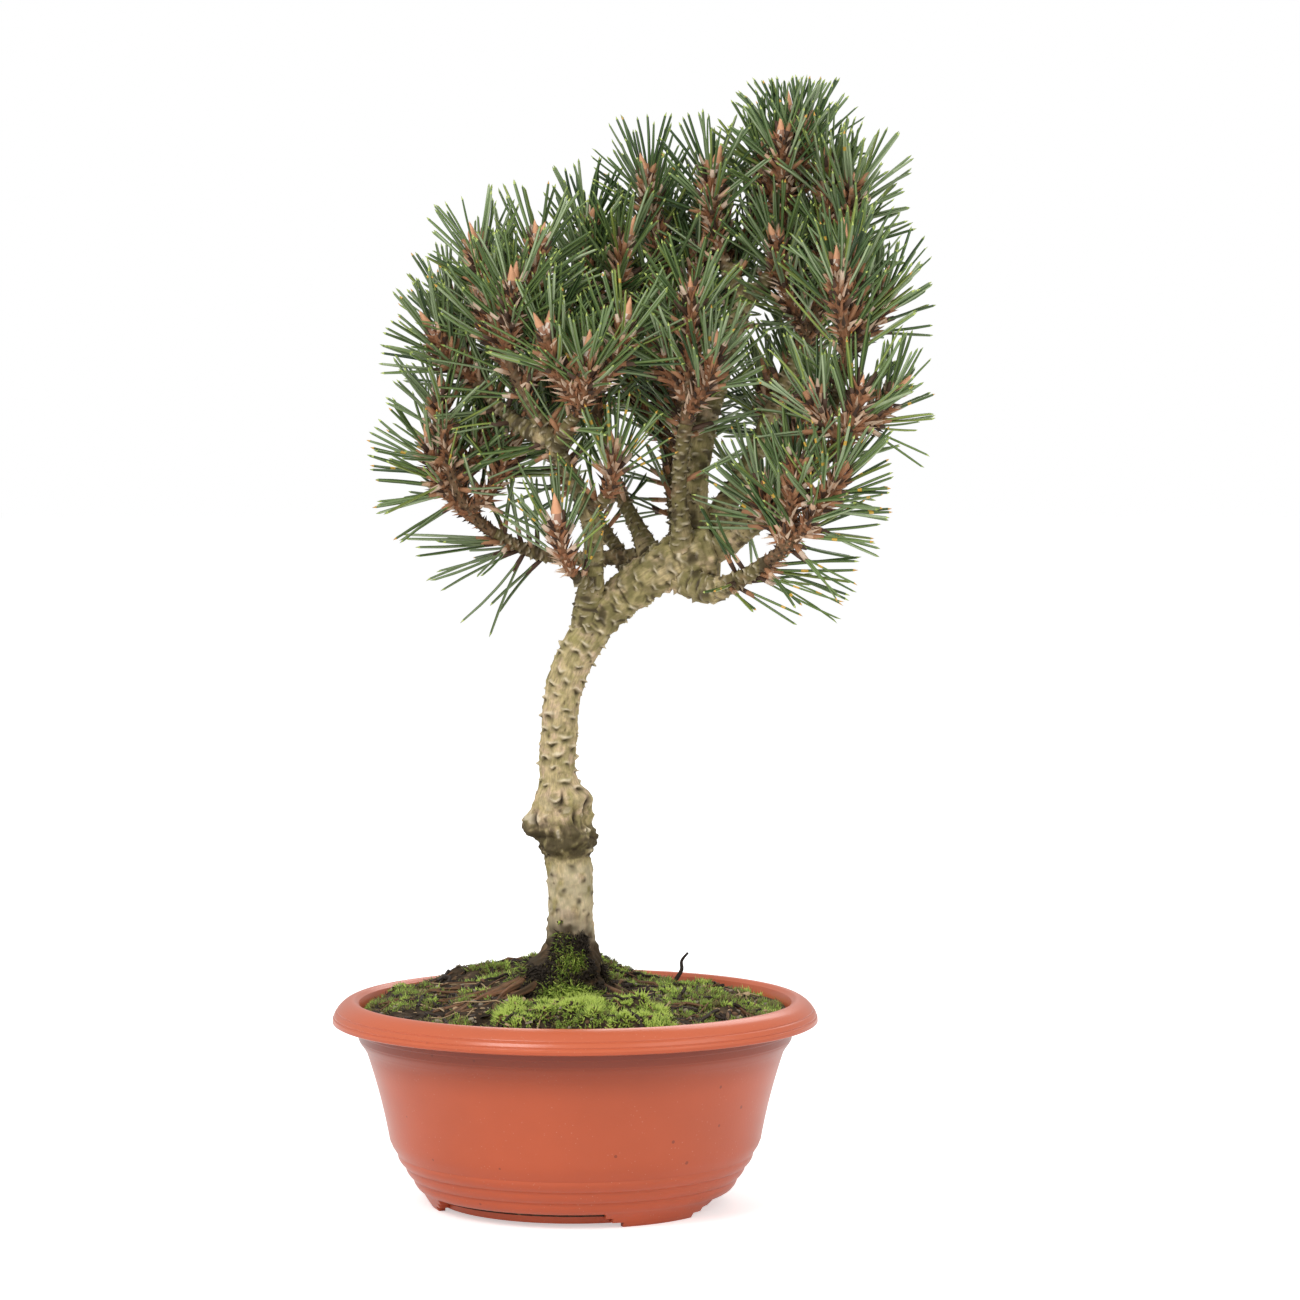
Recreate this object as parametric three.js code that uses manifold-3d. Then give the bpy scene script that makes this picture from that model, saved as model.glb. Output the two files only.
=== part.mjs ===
// Potted Kotobuki black pine: a small grafted pine in a round terracotta-coloured plastic bowl.
// Millimetres, +Z up. The origin is on the floor under the middle of the bowl.
// X runs to the right of the front view, and Y runs away from it.

import * as THREE from 'three';
import { mergeVertices } from 'three/addons/utils/BufferGeometryUtils.js';
import Module from 'manifold-3d';

const wasm = await Module();
wasm.setup();

const { lerp, degToRad } = THREE.MathUtils;
const GOLDEN_ANGLE = degToRad(137.508);

// The clearance that every piece keeps from the next.
const GAP = 0.3;

// The bowl: an overhanging lip, a flared wall with a collar, and a stepped foot cut into three feet.
const RIM_RADIUS = 110.5;
const BOWL_HEIGHT = 93.5;
const COLLAR_HEIGHT = 76;
const COLLAR_RADIUS = 98.8;
const NECK_HEIGHT = 71;
const NECK_RADIUS = 95.4;
const WALL_RINGS = [46, 62];
const SHOULDER_RADIUS = 84.5;
const SHOULDER_HEIGHT = 28.5;
const FOOT_RADIUS = 66;
const FOOT_HEIGHT = 6.8;
const BASE_RADIUS = 63;
const BASE_RECESS = 1.5;
const FOOT_RING_WIDTH = 1.5;
const FLOOR_HEIGHT = 5;
const WALL = 2.6;
const TERRACES = 3;
const TERRACE_HEIGHT = 5.5;
const TERRACE_BULGE = 1.1;
const FEET = 3;
const FIRST_FOOT = 66;
const FOOT_HALF_ANGLE = 17;
const NOTCH_STEPS = 3;
const NOTCH_STEP_ANGLE = 3.5;
const BOWL_SIDES = 32;

// The lip from the wall under it, round its lower edge and over the top: how far in from the rim
// and down from the top.
const LIP_SECTION = [
  [11.4, 9.3], [1.2, 9.3], [0.9, 10.6], [0, 10.1], [0.1, 8], [2, 4.5], [5.6, 1.2], [9.4, 0],
  [12, 1.5],
];

// The soil: a low mound with a level pad under the trunk.
const SOIL_TOP = 96;
const SOIL_EDGE = 88.5;
const SOIL_PAD_RADIUS = 26;
const SOIL_RINGS = 4;

// The trunk: a flared stock, the swollen graft above it, and the scion that leans over to the crown.
const TRUNK_PATH = [
  [-2, 0, 90], [-2, 0, 120], [-3, 0, 156], [-7, 0, 180], [-8, 0, 205], [-6, 0, 228],
  [-1, 0, 246], [7, -1, 260], [17, -3, 272], [30, -5, 283], [45, -6, 292], [62, -6, 297],
];
const TRUNK_SIDES = 10;
const TRUNK_STEPS = 32;
const STOCK_RADIUS = 10;
const SCION_RADIUS = 8.1;
const CROWN_RADIUS = 12.8;
const ROOT_FLARE = 13;
const ROOT_FLARE_HEIGHT = 13;
const GRAFT_HEIGHT = 76;
const GRAFT_SWELL = 6.8;
const GRAFT_SPREAD_BELOW = 6.5;
const GRAFT_SPREAD_ABOVE = 18;

// Surface roots: the compass angle, how far they reach from the trunk, the sideways bow and the radius.
const ROOTS = [
  { angle: 214, reach: 66, bow: 5, radius: 4.6 },
  { angle: 236, reach: 70, bow: -12, radius: 3.6 },
  { angle: 330, reach: 30, bow: 3, radius: 4.2 },
  { angle: 100, reach: 34, bow: 4, radius: 4.4 },
];
const ROOT_SIDES = 6;
const ROOT_STEPS = 7;
const ROOT_BENDS = 4;
const ROOT_RISE = 8;

// Boughs: the places that each one passes, from inside the limb that bears it, and its radius
// at both ends.
const BOUGHS = [
  {
    name: 'bough_leader', radii: [5.8, 3.9],
    path: [[53, -4, 292], [54, -5, 312], [56, -4, 336], [61, 1, 360], [70, 4, 390], [78, 5, 413]],
  },
  {
    name: 'bough_right', radii: [5.8, 3.2],
    path: [[58, 0, 294], [66, 6, 314], [78, 13, 333], [91, 20, 363], [102, 18, 386]],
  },
  {
    name: 'bough_right_front', radii: [4.8, 3.1],
    path: [[58, -7, 294], [76, -14, 306], [94, -30, 321], [104, -39, 332], [114, -45, 341]],
  },
  {
    name: 'bough_low_right', radii: [5.6, 2.6],
    path: [[48, -8, 286], [61, -16, 280], [74, -28, 285], [86, -38, 293]],
  },
  {
    name: 'bough_right_rear', radii: [4.2, 2.9],
    path: [[60, -2, 295], [75, 18, 311], [87, 37, 327]],
  },
  {
    name: 'bough_centre', radii: [4, 2.9],
    path: [[49, -9, 291], [48, -16, 306], [47, -22, 330], [50, -26, 354]],
  },
  {
    name: 'bough_centre_rear', radii: [4.2, 2.6],
    path: [[50, -2, 292], [52, 14, 318], [51, 20, 340], [49, 22, 364]],
  },
  {
    name: 'bough_back', radii: [4, 2.5],
    path: [[44, -2, 289], [46, 20, 306], [43, 41, 332]],
  },
  {
    name: 'bough_left_rear', radii: [4.3, 2.5],
    path: [[38, -3, 287], [29, 14, 306], [20, 27, 324], [13, 32, 346]],
  },
  {
    name: 'bough_back_left', radii: [3.8, 2.4],
    path: [[28, -2, 279], [20, 18, 296], [4, 38, 318]],
  },
  {
    name: 'bough_low_left', radii: [3.9, 2.5],
    path: [[44, -2, 291], [26, 10, 294], [2, 19, 293], [-20, 21, 296], [-37, 15, 305]],
  },
  {
    name: 'bough_upright', radii: [5.2, 3.3],
    path: [[5, -1, 262], [8, -10, 288], [8, -14, 308], [-3, -18, 334], [-17, -20, 358]],
  },
  {
    name: 'bough_left', radii: [3.2, 2.5],
    path: [[-12, -19, 347], [-26, -12, 355], [-38, -6, 366]],
  },
  {
    name: 'bough_front', radii: [3, 2.4],
    path: [[-8, -19, 342], [-4, -27, 350], [1, -32, 358]],
  },
  {
    name: 'bough_inner', radii: [2.4, 2],
    path: [[7, -15, 314], [11, -21, 318], [14, -24, 322]],
  },
  {
    name: 'bough_low_front', radii: [2.4, 2],
    path: [[8, -9, 282], [3, -17, 284], [0, -21, 287]],
  },
  {
    name: 'bough_top_centre', radii: [3.1, 2.5],
    path: [[77, 5, 411], [71, 7, 422], [67, 7, 431]],
  },
  {
    name: 'bough_top', radii: [3.4, 2.7],
    path: [[77, 4, 410], [88, 6, 420], [93, 8, 434]],
  },
  {
    name: 'bough_top_back', radii: [3, 2.4],
    path: [[70, 5, 389], [73, 18, 401], [72, 27, 410]],
  },
  {
    name: 'bough_right_back', radii: [3, 2.4],
    path: [[90, 20, 361], [101, 32, 378], [107, 40, 390]],
  },
  {
    name: 'bough_right_top', radii: [3, 2.4],
    path: [[101, -36, 328], [107, -36, 344], [114, -38, 360], [119, -40, 376]],
  },
];
const BOUGH_SIDES = 7;
const BOUGH_STEP = 11;
const LIMB_LINE = 6;
const COLLAR_SWELL = 0.35;

// Masses of foliage: the bough that bears each one, the tip that its leading shoot reaches,
// how many shoots it has, the compass angle of its first side shoot, how wide they spread and
// how far their old needles droop.
const MASSES = [
  {
    name: 'foliage_left_top', bough: 'bough_upright', tip: [-44, -14, 432],
    shoots: 5, turn: 15, spread: 40, droop: 0,
  },
  {
    name: 'foliage_left', bough: 'bough_left', tip: [-57, 4, 409],
    shoots: 4, turn: 250, spread: 34, droop: 0,
  },
  {
    name: 'foliage_front', bough: 'bough_front', tip: [7, -46, 382],
    shoots: 4, turn: 215, spread: 44, droop: 0,
  },
  {
    name: 'foliage_inner', bough: 'bough_inner', tip: [17, -30, 342],
    shoots: 1, turn: 0, spread: 0, droop: 20,
  },
  {
    name: 'foliage_low_front', bough: 'bough_low_front', tip: [-7, -31, 309],
    shoots: 1, turn: 0, spread: 0, droop: 20,
  },
  {
    name: 'foliage_low_left', bough: 'bough_low_left', tip: [-60, -6, 368],
    shoots: 6, turn: 200, spread: 48, droop: 35,
  },
  {
    name: 'foliage_left_rear', bough: 'bough_left_rear', tip: [6, 14, 446],
    shoots: 6, turn: 95, spread: 46, droop: 10,
  },
  {
    name: 'foliage_centre', bough: 'bough_centre', tip: [52, -33, 412],
    shoots: 5, turn: 170, spread: 38, droop: 0,
  },
  {
    name: 'foliage_centre_top', bough: 'bough_centre_rear', tip: [32, 10, 466],
    shoots: 5, turn: 60, spread: 38, droop: 0,
  },
  {
    name: 'foliage_top_centre', bough: 'bough_top_centre', tip: [62, 3, 468],
    shoots: 3, turn: 300, spread: 38, droop: 0,
  },
  {
    name: 'foliage_top', bough: 'bough_top', tip: [104, 4, 488],
    shoots: 4, turn: 180, spread: 28, droop: 0,
  },
  {
    name: 'foliage_right_crest', bough: 'bough_right', tip: [114, 0, 469],
    shoots: 5, turn: 40, spread: 36, droop: 0,
  },
  {
    name: 'foliage_right_rear', bough: 'bough_right_rear', tip: [105, 64, 392],
    shoots: 5, turn: 330, spread: 48, droop: 15,
  },
  {
    name: 'foliage_right_front', bough: 'bough_right_front', tip: [127, -50, 370],
    shoots: 4, turn: 215, spread: 42, droop: 15,
  },
  {
    name: 'foliage_right_top', bough: 'bough_right_top', tip: [123, -30, 431],
    shoots: 4, turn: 250, spread: 30, droop: 0,
  },
  {
    name: 'foliage_low_right', bough: 'bough_low_right', tip: [118, -56, 332],
    shoots: 5, turn: 350, spread: 54, droop: 25,
  },
  {
    name: 'foliage_back_left', bough: 'bough_back_left', tip: [-30, 62, 394],
    shoots: 6, turn: 120, spread: 48, droop: 15,
  },
  {
    name: 'foliage_back', bough: 'bough_back', tip: [34, 70, 412],
    shoots: 6, turn: 40, spread: 46, droop: 15,
  },
  {
    name: 'foliage_top_back', bough: 'bough_top_back', tip: [68, 42, 458],
    shoots: 4, turn: 80, spread: 38, droop: 0,
  },
  {
    name: 'foliage_right_back', bough: 'bough_right_back', tip: [119, 48, 436],
    shoots: 4, turn: 20, spread: 42, droop: 0,
  },
];

// Shoots and needles. Each needle grows from one facet of its shoot and stands for a few real
// ones, so it is wider than life.
const SHOOT_SIDES = 4;
const SHOOT_RING = 4.6;
const SHOOT_RADIUS = 2.3;
const BUD_RADIUS = 0.6;
const BUD_SHARE = 0.12;
const SIDE_SHOOT_START = 0.12;
const SIDE_SHOOT_END = 0.62;
const SIDE_SHOOT_REACH = 34;
const SHOOT_LINES = 4;
const BARE_LENGTH = 7;
const NEEDLE_LENGTH = 33;
const NEEDLE_ROOT_RADIUS = 1.6;
const NEEDLE_ANGLE_TIP = 26;
const NEEDLE_ANGLE_BASE = 62;
const NEEDLE_SHORTEST = 0.5;
const NEEDLE_TEST_START = 4;
const NEEDLE_TEST_STEP = 3;

const BOWL_PLASTIC = new THREE.MeshStandardMaterial({ color: 0xb9583a, roughness: 0.45, metalness: 0 });
const SOIL = new THREE.MeshStandardMaterial({ color: 0x3d3226, roughness: 1, metalness: 0 });
const BARK = new THREE.MeshStandardMaterial({ color: 0xa0916a, roughness: 0.9, metalness: 0 });
const NEEDLES = new THREE.MeshStandardMaterial({ color: 0x41683f, roughness: 0.55, metalness: 0 });

// A linear congruential generator, so that the same seed always grows the same shoots.
function seededRandom(seed) {
  let state = seed >>> 0;
  return () => {
    state = (Math.imul(state, 1664525) + 1013904223) >>> 0;
    return state / 4294967296;
  };
}

function vector(place) {
  return new THREE.Vector3(...place);
}

function compass(degrees, tilt) {
  const angle = degToRad(degrees);
  const lean = degToRad(tilt);
  return new THREE.Vector3(
    Math.cos(angle) * Math.sin(lean),
    Math.sin(angle) * Math.sin(lean),
    Math.cos(lean),
  );
}

// A geometry with its shared vertices merged.
function merged(geometry) {
  geometry.deleteAttribute('normal');
  geometry.deleteAttribute('uv');
  return mergeVertices(geometry);
}

// A closed set of faces as a solid, with its collapsed faces left out.
function solid(places, corners) {
  const kept = [];
  for (let i = 0; i < corners.length; i += 3) {
    const [a, b, c] = corners.slice(i, i + 3);
    if (a !== b && b !== c && c !== a) {
      kept.push(a, b, c);
    }
  }
  return new wasm.Manifold(new wasm.Mesh({
    numProp: 3,
    vertProperties: new Float32Array(places),
    triVerts: new Uint32Array(kept),
  }));
}

function solidOf(geometry) {
  const whole = geometry.attributes.uv ? merged(geometry) : geometry;
  return solid(whole.attributes.position.array, whole.index.array);
}

// The largest body of a solid as a named mesh. Scraps and sealed hollows are left behind.
function piece(name, shape, material) {
  const [body] = shape.decompose().sort((a, b) => b.volume() - a.volume());
  const { vertProperties, triVerts } = body.getMesh();
  const geometry = new THREE.BufferGeometry();
  geometry.setAttribute('position', new THREE.BufferAttribute(vertProperties, 3));
  geometry.setIndex(new THREE.BufferAttribute(triVerts, 1));
  const mesh = new THREE.Mesh(geometry, material);
  mesh.name = name;
  return mesh;
}

// A profile of [radius, height] pairs turned about the Z axis.
function turned(profile) {
  const points = profile.map(([radius, height]) => new THREE.Vector2(radius, height));
  return solidOf(new THREE.LatheGeometry(points, BOWL_SIDES).rotateX(Math.PI / 2));
}

// A tube along a curve, with flat ends and a radius that changes with the share of its length.
// The extra is a clearance that is added all round it and at both ends.
function tube(curve, radiusAt, sides, steps, extra = 0) {
  const geometry = merged(new THREE.CylinderGeometry(1, 1, 1, sides, steps));
  const frames = curve.computeFrenetFrames(steps, false);
  const position = geometry.attributes.position;
  for (let i = 0; i < position.count; i += 1) {
    const along = position.getY(i) + 0.5;
    const station = Math.round(along * steps);
    const radius = radiusAt(along) + extra;
    const overrun = extra * (Math.sign(station - steps + 0.5) + Math.sign(station - 0.5)) / 2;
    const place = curve.getPointAt(along).addScaledVector(frames.tangents[station], overrun);
    place.addScaledVector(frames.binormals[station], position.getX(i) * radius);
    place.addScaledVector(frames.normals[station], position.getZ(i) * radius);
    position.setXYZ(i, place.x, place.y, place.z);
  }
  return geometry;
}

// The wall leans out evenly to the shoulder, then in a growing curve to the neck, and flares to
// an upright collar under the lip.
function wallRadius(height) {
  if (height < SHOULDER_HEIGHT) {
    return lerp(FOOT_RADIUS, SHOULDER_RADIUS, height / SHOULDER_HEIGHT);
  }
  if (height > NECK_HEIGHT) {
    const flare = Math.min((height - NECK_HEIGHT) / (COLLAR_HEIGHT - NECK_HEIGHT), 1);
    return lerp(NECK_RADIUS, COLLAR_RADIUS, flare);
  }
  const share = (height - SHOULDER_HEIGHT) / (NECK_HEIGHT - SHOULDER_HEIGHT);
  return lerp(SHOULDER_RADIUS, NECK_RADIUS, (2 * share + share * share) / 3);
}

function bowlProfile() {
  const profile = [[0, BASE_RECESS], [BASE_RADIUS, BASE_RECESS], [BASE_RADIUS, FOOT_HEIGHT]];
  profile.push([wallRadius(FOOT_HEIGHT), FOOT_HEIGHT]);
  for (let i = 0; i < TERRACES; i += 1) {
    const groove = FOOT_HEIGHT + (i + 1) * TERRACE_HEIGHT;
    const middle = groove - TERRACE_HEIGHT * 0.45;
    profile.push([wallRadius(middle) + TERRACE_BULGE, middle], [wallRadius(groove), groove]);
  }
  for (const height of [SHOULDER_HEIGHT, ...WALL_RINGS, NECK_HEIGHT, COLLAR_HEIGHT]) {
    profile.push([wallRadius(height), height]);
  }
  for (const [inset, drop] of LIP_SECTION) {
    profile.push([RIM_RADIUS - inset, BOWL_HEIGHT - drop]);
  }
  const inside = [COLLAR_HEIGHT, NECK_HEIGHT, WALL_RINGS[1], SHOULDER_HEIGHT, FLOOR_HEIGHT];
  for (const height of inside) {
    profile.push([wallRadius(height) - WALL, height]);
  }
  profile.push([0, FLOOR_HEIGHT]);
  return profile;
}

// A flat sector of a disc, from a bottom to a top height.
function sector(middle, halfAngle, bottom, top) {
  const outline = new THREE.Shape();
  outline.moveTo(0, 0);
  outline.absarc(0, 0, RIM_RADIUS, degToRad(middle - halfAngle), degToRad(middle + halfAngle), false);
  const options = { depth: top - bottom, bevelEnabled: false, curveSegments: 4 };
  return solidOf(new THREE.ExtrudeGeometry(outline, options).translate(0, 0, bottom));
}

// The foot ring stands on the floor, and three notches with stepped ends leave three feet of it.
function footRing() {
  const inner = BASE_RADIUS - FOOT_RING_WIDTH;
  const outer = wallRadius(FOOT_HEIGHT);
  let ring = turned([
    [inner, 0], [FOOT_RADIUS, 0], [outer, FOOT_HEIGHT], [outer - 0.9, FOOT_HEIGHT + 0.4],
    [FOOT_RADIUS, FLOOR_HEIGHT - 0.8], [inner, FLOOR_HEIGHT - 2], [inner, 0],
  ]);
  const pitch = 360 / FEET;
  for (let foot = 0; foot < FEET; foot += 1) {
    const notch = FIRST_FOOT + (foot + 0.5) * pitch;
    for (let step = 0; step < NOTCH_STEPS; step += 1) {
      const halfAngle = pitch / 2 - FOOT_HALF_ANGLE - step * NOTCH_STEP_ANGLE;
      const height = (FOOT_HEIGHT * (step + 1)) / NOTCH_STEPS;
      ring = ring.subtract(sector(notch, halfAngle, -1, height));
    }
  }
  return ring;
}

function makeBowl() {
  return piece('bowl', turned(bowlProfile()).add(footRing()), BOWL_PLASTIC);
}

function soilEdgeRadius() {
  return COLLAR_RADIUS - WALL - GAP;
}

function soilHeight(radius) {
  const share = (radius - SOIL_PAD_RADIUS) / (soilEdgeRadius() - SOIL_PAD_RADIUS);
  return SOIL_TOP - (SOIL_TOP - SOIL_EDGE) * Math.max(share, 0) ** 2;
}

// The mound's surface from its edge to the middle, lifted by a clearance where one is asked for.
function soilSurface(lift) {
  const surface = [];
  for (let ring = SOIL_RINGS; ring >= 0; ring -= 1) {
    const radius = lerp(SOIL_PAD_RADIUS, soilEdgeRadius(), ring / SOIL_RINGS);
    surface.push([radius, soilHeight(radius) + lift]);
  }
  surface.push([0, SOIL_TOP + lift]);
  return surface;
}

function makeSoil() {
  const bottom = FLOOR_HEIGHT + GAP;
  const profile = [[0, bottom]];
  for (const height of [bottom, SHOULDER_HEIGHT, WALL_RINGS[1], NECK_HEIGHT, COLLAR_HEIGHT]) {
    profile.push([wallRadius(height) - WALL - GAP, height]);
  }
  profile.push(...soilSurface(0));
  return piece('soil', turned(profile), SOIL);
}

// The ground that the trunk's foot and roots are cut off against.
function groundBelow() {
  return turned([[0, 0], [soilEdgeRadius(), 0], ...soilSurface(GAP)]);
}

function makeCurve(places) {
  return new THREE.CatmullRomCurve3(places, false, 'centripetal');
}

const trunkCurve = makeCurve(TRUNK_PATH.map(vector));
const trunkLength = trunkCurve.getLength();

function trunkRadius(along) {
  const height = along * trunkLength;
  const graft = height - GRAFT_HEIGHT;
  const spread = graft < 0 ? GRAFT_SPREAD_BELOW : GRAFT_SPREAD_ABOVE;
  const blend = THREE.MathUtils.smoothstep(graft, -GRAFT_SPREAD_BELOW, GRAFT_SPREAD_ABOVE);
  const above = Math.max(graft, 0) / (trunkLength - GRAFT_HEIGHT);
  const scion = lerp(SCION_RADIUS, CROWN_RADIUS, above ** 4);
  return lerp(STOCK_RADIUS, scion, blend)
    + ROOT_FLARE * Math.exp(-height / ROOT_FLARE_HEIGHT)
    + GRAFT_SWELL * Math.exp(-((graft / spread) ** 2));
}

// A root runs out of the flare and lies half sunk on the mound, bowed to one side.
function surfaceRoot({ angle, reach, bow, radius }) {
  const places = [];
  const [startX, startY] = TRUNK_PATH[0];
  const heading = degToRad(angle);
  for (let bend = 0; bend <= ROOT_BENDS; bend += 1) {
    const share = bend / ROOT_BENDS;
    const out = reach * share;
    const aside = bow * Math.sin(Math.PI * share);
    const x = startX + Math.cos(heading) * out - Math.sin(heading) * aside;
    const y = startY + Math.sin(heading) * out + Math.cos(heading) * aside;
    const rise = ROOT_RISE * (1 - share) ** 3 + radius * 0.25;
    places.push(new THREE.Vector3(x, y, soilHeight(Math.hypot(x, y)) + rise));
  }
  const radiusAt = (along) => radius * lerp(1.15, 0.35, along);
  return solidOf(tube(makeCurve(places), radiusAt, ROOT_SIDES, ROOT_STEPS));
}

function trunkTube(extra) {
  return solidOf(tube(trunkCurve, trunkRadius, TRUNK_SIDES, TRUNK_STEPS, extra));
}

function makeTrunk() {
  let shape = trunkTube(0);
  for (const root of ROOTS) {
    shape = shape.add(surfaceRoot(root));
  }
  return piece('trunk', shape.subtract(groundBelow()), BARK);
}

// A bough thins evenly to its tip and swells into a collar where it leaves the limb that bears it.
function boughLimb({ name, path, radii: [base, tip] }) {
  const curve = makeCurve(path.map(vector));
  const length = curve.getLength();
  const radiusAt = (along) => {
    const collar = COLLAR_SWELL * Math.exp((-along * length) / (3 * base));
    return lerp(base, tip, along) * (1 + collar);
  };
  return { name, curve, radiusAt, steps: Math.round(length / BOUGH_STEP) };
}

function boughTube({ curve, radiusAt, steps }, extra) {
  return solidOf(tube(curve, radiusAt, BOUGH_SIDES, steps, extra));
}

const boughs = BOUGHS.map(boughLimb);

// Each bough is trimmed to the trunk and to the boughs before it, a clearance away.
function makeBoughs() {
  let taken = trunkTube(GAP);
  return boughs.map((bough) => {
    const mesh = piece(bough.name, boughTube(bough, 0).subtract(taken), BARK);
    taken = taken.add(boughTube(bough, GAP));
    return mesh;
  });
}

// The shoots of a mass: a leading shoot from the bough's tip, and side shoots that leave it
// by the golden angle, run out, and turn up.
function growShoots(mass, seed) {
  const random = seededRandom(seed);
  const bough = boughs.find(({ name }) => name === mass.bough);
  const heading = bough.curve.getTangentAt(1);
  const foot = bough.curve.getPointAt(1).addScaledVector(heading, GAP);
  const tip = vector(mass.tip);
  const bend = foot.clone().addScaledVector(heading, foot.distanceTo(tip) * 0.4);
  const leader = new THREE.QuadraticBezierCurve3(foot, bend, tip);
  const shoots = [leader];
  for (let i = 1; i < mass.shoots; i += 1) {
    const start = leader.getPoint(lerp(SIDE_SHOOT_START, SIDE_SHOOT_END, i / mass.shoots));
    const turn = mass.turn + THREE.MathUtils.radToDeg((i - 1) * GOLDEN_ANGLE) + lerp(-10, 10, random());
    const reach = SIDE_SHOOT_REACH * lerp(0.8, 1.1, random());
    const elbow = start.clone().addScaledVector(compass(turn, mass.spread * 1.25), reach * 0.5);
    const end = elbow.clone().addScaledVector(compass(turn, mass.spread * 0.6), reach * 0.5);
    shoots.push(new THREE.QuadraticBezierCurve3(start, elbow, end));
  }
  return shoots;
}

// A curve as short straight lines.
function straightLines(curve, count) {
  const places = curve.getPoints(count);
  return places.slice(1).map((place, i) => new THREE.Line3(places[i], place));
}

const nearest = new THREE.Vector3();

function distanceTo(line, place) {
  return line.closestPointToPoint(place, true, nearest).distanceTo(place);
}

const limbLines = [
  { curve: trunkCurve, radiusAt: trunkRadius },
  ...boughs,
].flatMap(({ curve, radiusAt }) => {
  const count = Math.ceil(curve.getLength() / LIMB_LINE);
  const places = curve.getSpacedPoints(count);
  return places.slice(1).map((place, i) => ({
    line: new THREE.Line3(places[i], place),
    radius: Math.max(radiusAt(i / count), radiusAt((i + 1) / count)),
  }));
});

// A shoot has room where it keeps clear of every limb and of the other masses' shoots.
function hasRoom({ owner, shoot }, others) {
  const reach = SHOOT_RADIUS + GAP;
  return shoot.getPoints(2 * SHOOT_LINES).slice(1).every((place) => (
    limbLines.every(({ line, radius }) => distanceTo(line, place) > radius + reach)
    && others.every((other) => (
      other.owner === owner || other.lines.every((line) => distanceTo(line, place) > 2 * reach)
    ))
  ));
}

// All shoots with their lines: first the leading shoots, then the side shoots that find room.
// They share the crown out, because a place belongs to the shoot that is nearest to it.
function growCrown() {
  const all = MASSES.flatMap((mass, owner) => growShoots(mass, owner + 1).map((shoot, order) => ({
    owner, order, shoot, lines: straightLines(shoot, SHOOT_LINES),
  })));
  const crown = all.filter(({ order }) => order === 0);
  for (const sideShoot of all.filter(({ order }) => order > 0)) {
    if (hasRoom(sideShoot, crown)) {
      crown.push(sideShoot);
    }
  }
  return crown;
}

const crown = growCrown();

// A place is free for a shoot where a ball of the given radius stays in the shoot's own share
// of the crown, a clearance away from other masses and from every limb.
function isFree(owner, shoot, place, radius) {
  const ownLines = straightLines(shoot, SHOOT_LINES);
  const own = Math.min(...ownLines.map((line) => distanceTo(line, place)));
  const crowded = crown.some((other) => {
    const margin = radius + (other.owner === owner ? 0 : GAP);
    return other.shoot !== shoot
      && other.lines.some((line) => (distanceTo(line, place) - own) / 2 < margin);
  });
  return !crowded
    && limbLines.every(({ line, radius: girth }) => distanceTo(line, place) > girth + radius + GAP);
}

// The longest length at which a needle stays free all the way.
function freeLength(owner, shoot, root, direction, length) {
  let free = 0;
  for (let reach = NEEDLE_TEST_START; reach <= length; reach += NEEDLE_TEST_STEP) {
    const radius = NEEDLE_ROOT_RADIUS * (1 - reach / length);
    if (!isFree(owner, shoot, root.clone().addScaledVector(direction, reach), radius)) {
      return free;
    }
    free = reach;
  }
  return length;
}

function shootRadius(along) {
  const bud = Math.max(0, (along - 1 + BUD_SHARE) / BUD_SHARE);
  return lerp(SHOOT_RADIUS, BUD_RADIUS, bud);
}

// Three facets of each ring grow a needle, and each ring is turned by one facet from the last.
function growsNeedle(facet, ring) {
  const facets = 2 * SHOOT_SIDES;
  return (3 * facet + 5 * ring) % facets < 3;
}

// The tip of the needle on a facet: close to the shoot at its end, and wide at its base.
function needleTip(owner, shoot, root, along, droop, random) {
  const axis = shoot.getTangentAt(along);
  const outward = root.clone().sub(shoot.getPointAt(along)).projectOnPlane(axis).normalize();
  outward.applyAxisAngle(axis, lerp(-0.3, 0.3, random()));
  const spread = lerp(NEEDLE_ANGLE_BASE + droop, NEEDLE_ANGLE_TIP, along);
  const tilt = degToRad(spread + lerp(-6, 6, random()));
  const direction = axis.multiplyScalar(Math.cos(tilt)).addScaledVector(outward, Math.sin(tilt));
  const wanted = NEEDLE_LENGTH * lerp(0.88, 1.12, random());
  const length = freeLength(owner, shoot, root, direction, wanted);
  return length < wanted * NEEDLE_SHORTEST ? null : root.clone().addScaledVector(direction, length);
}

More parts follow.
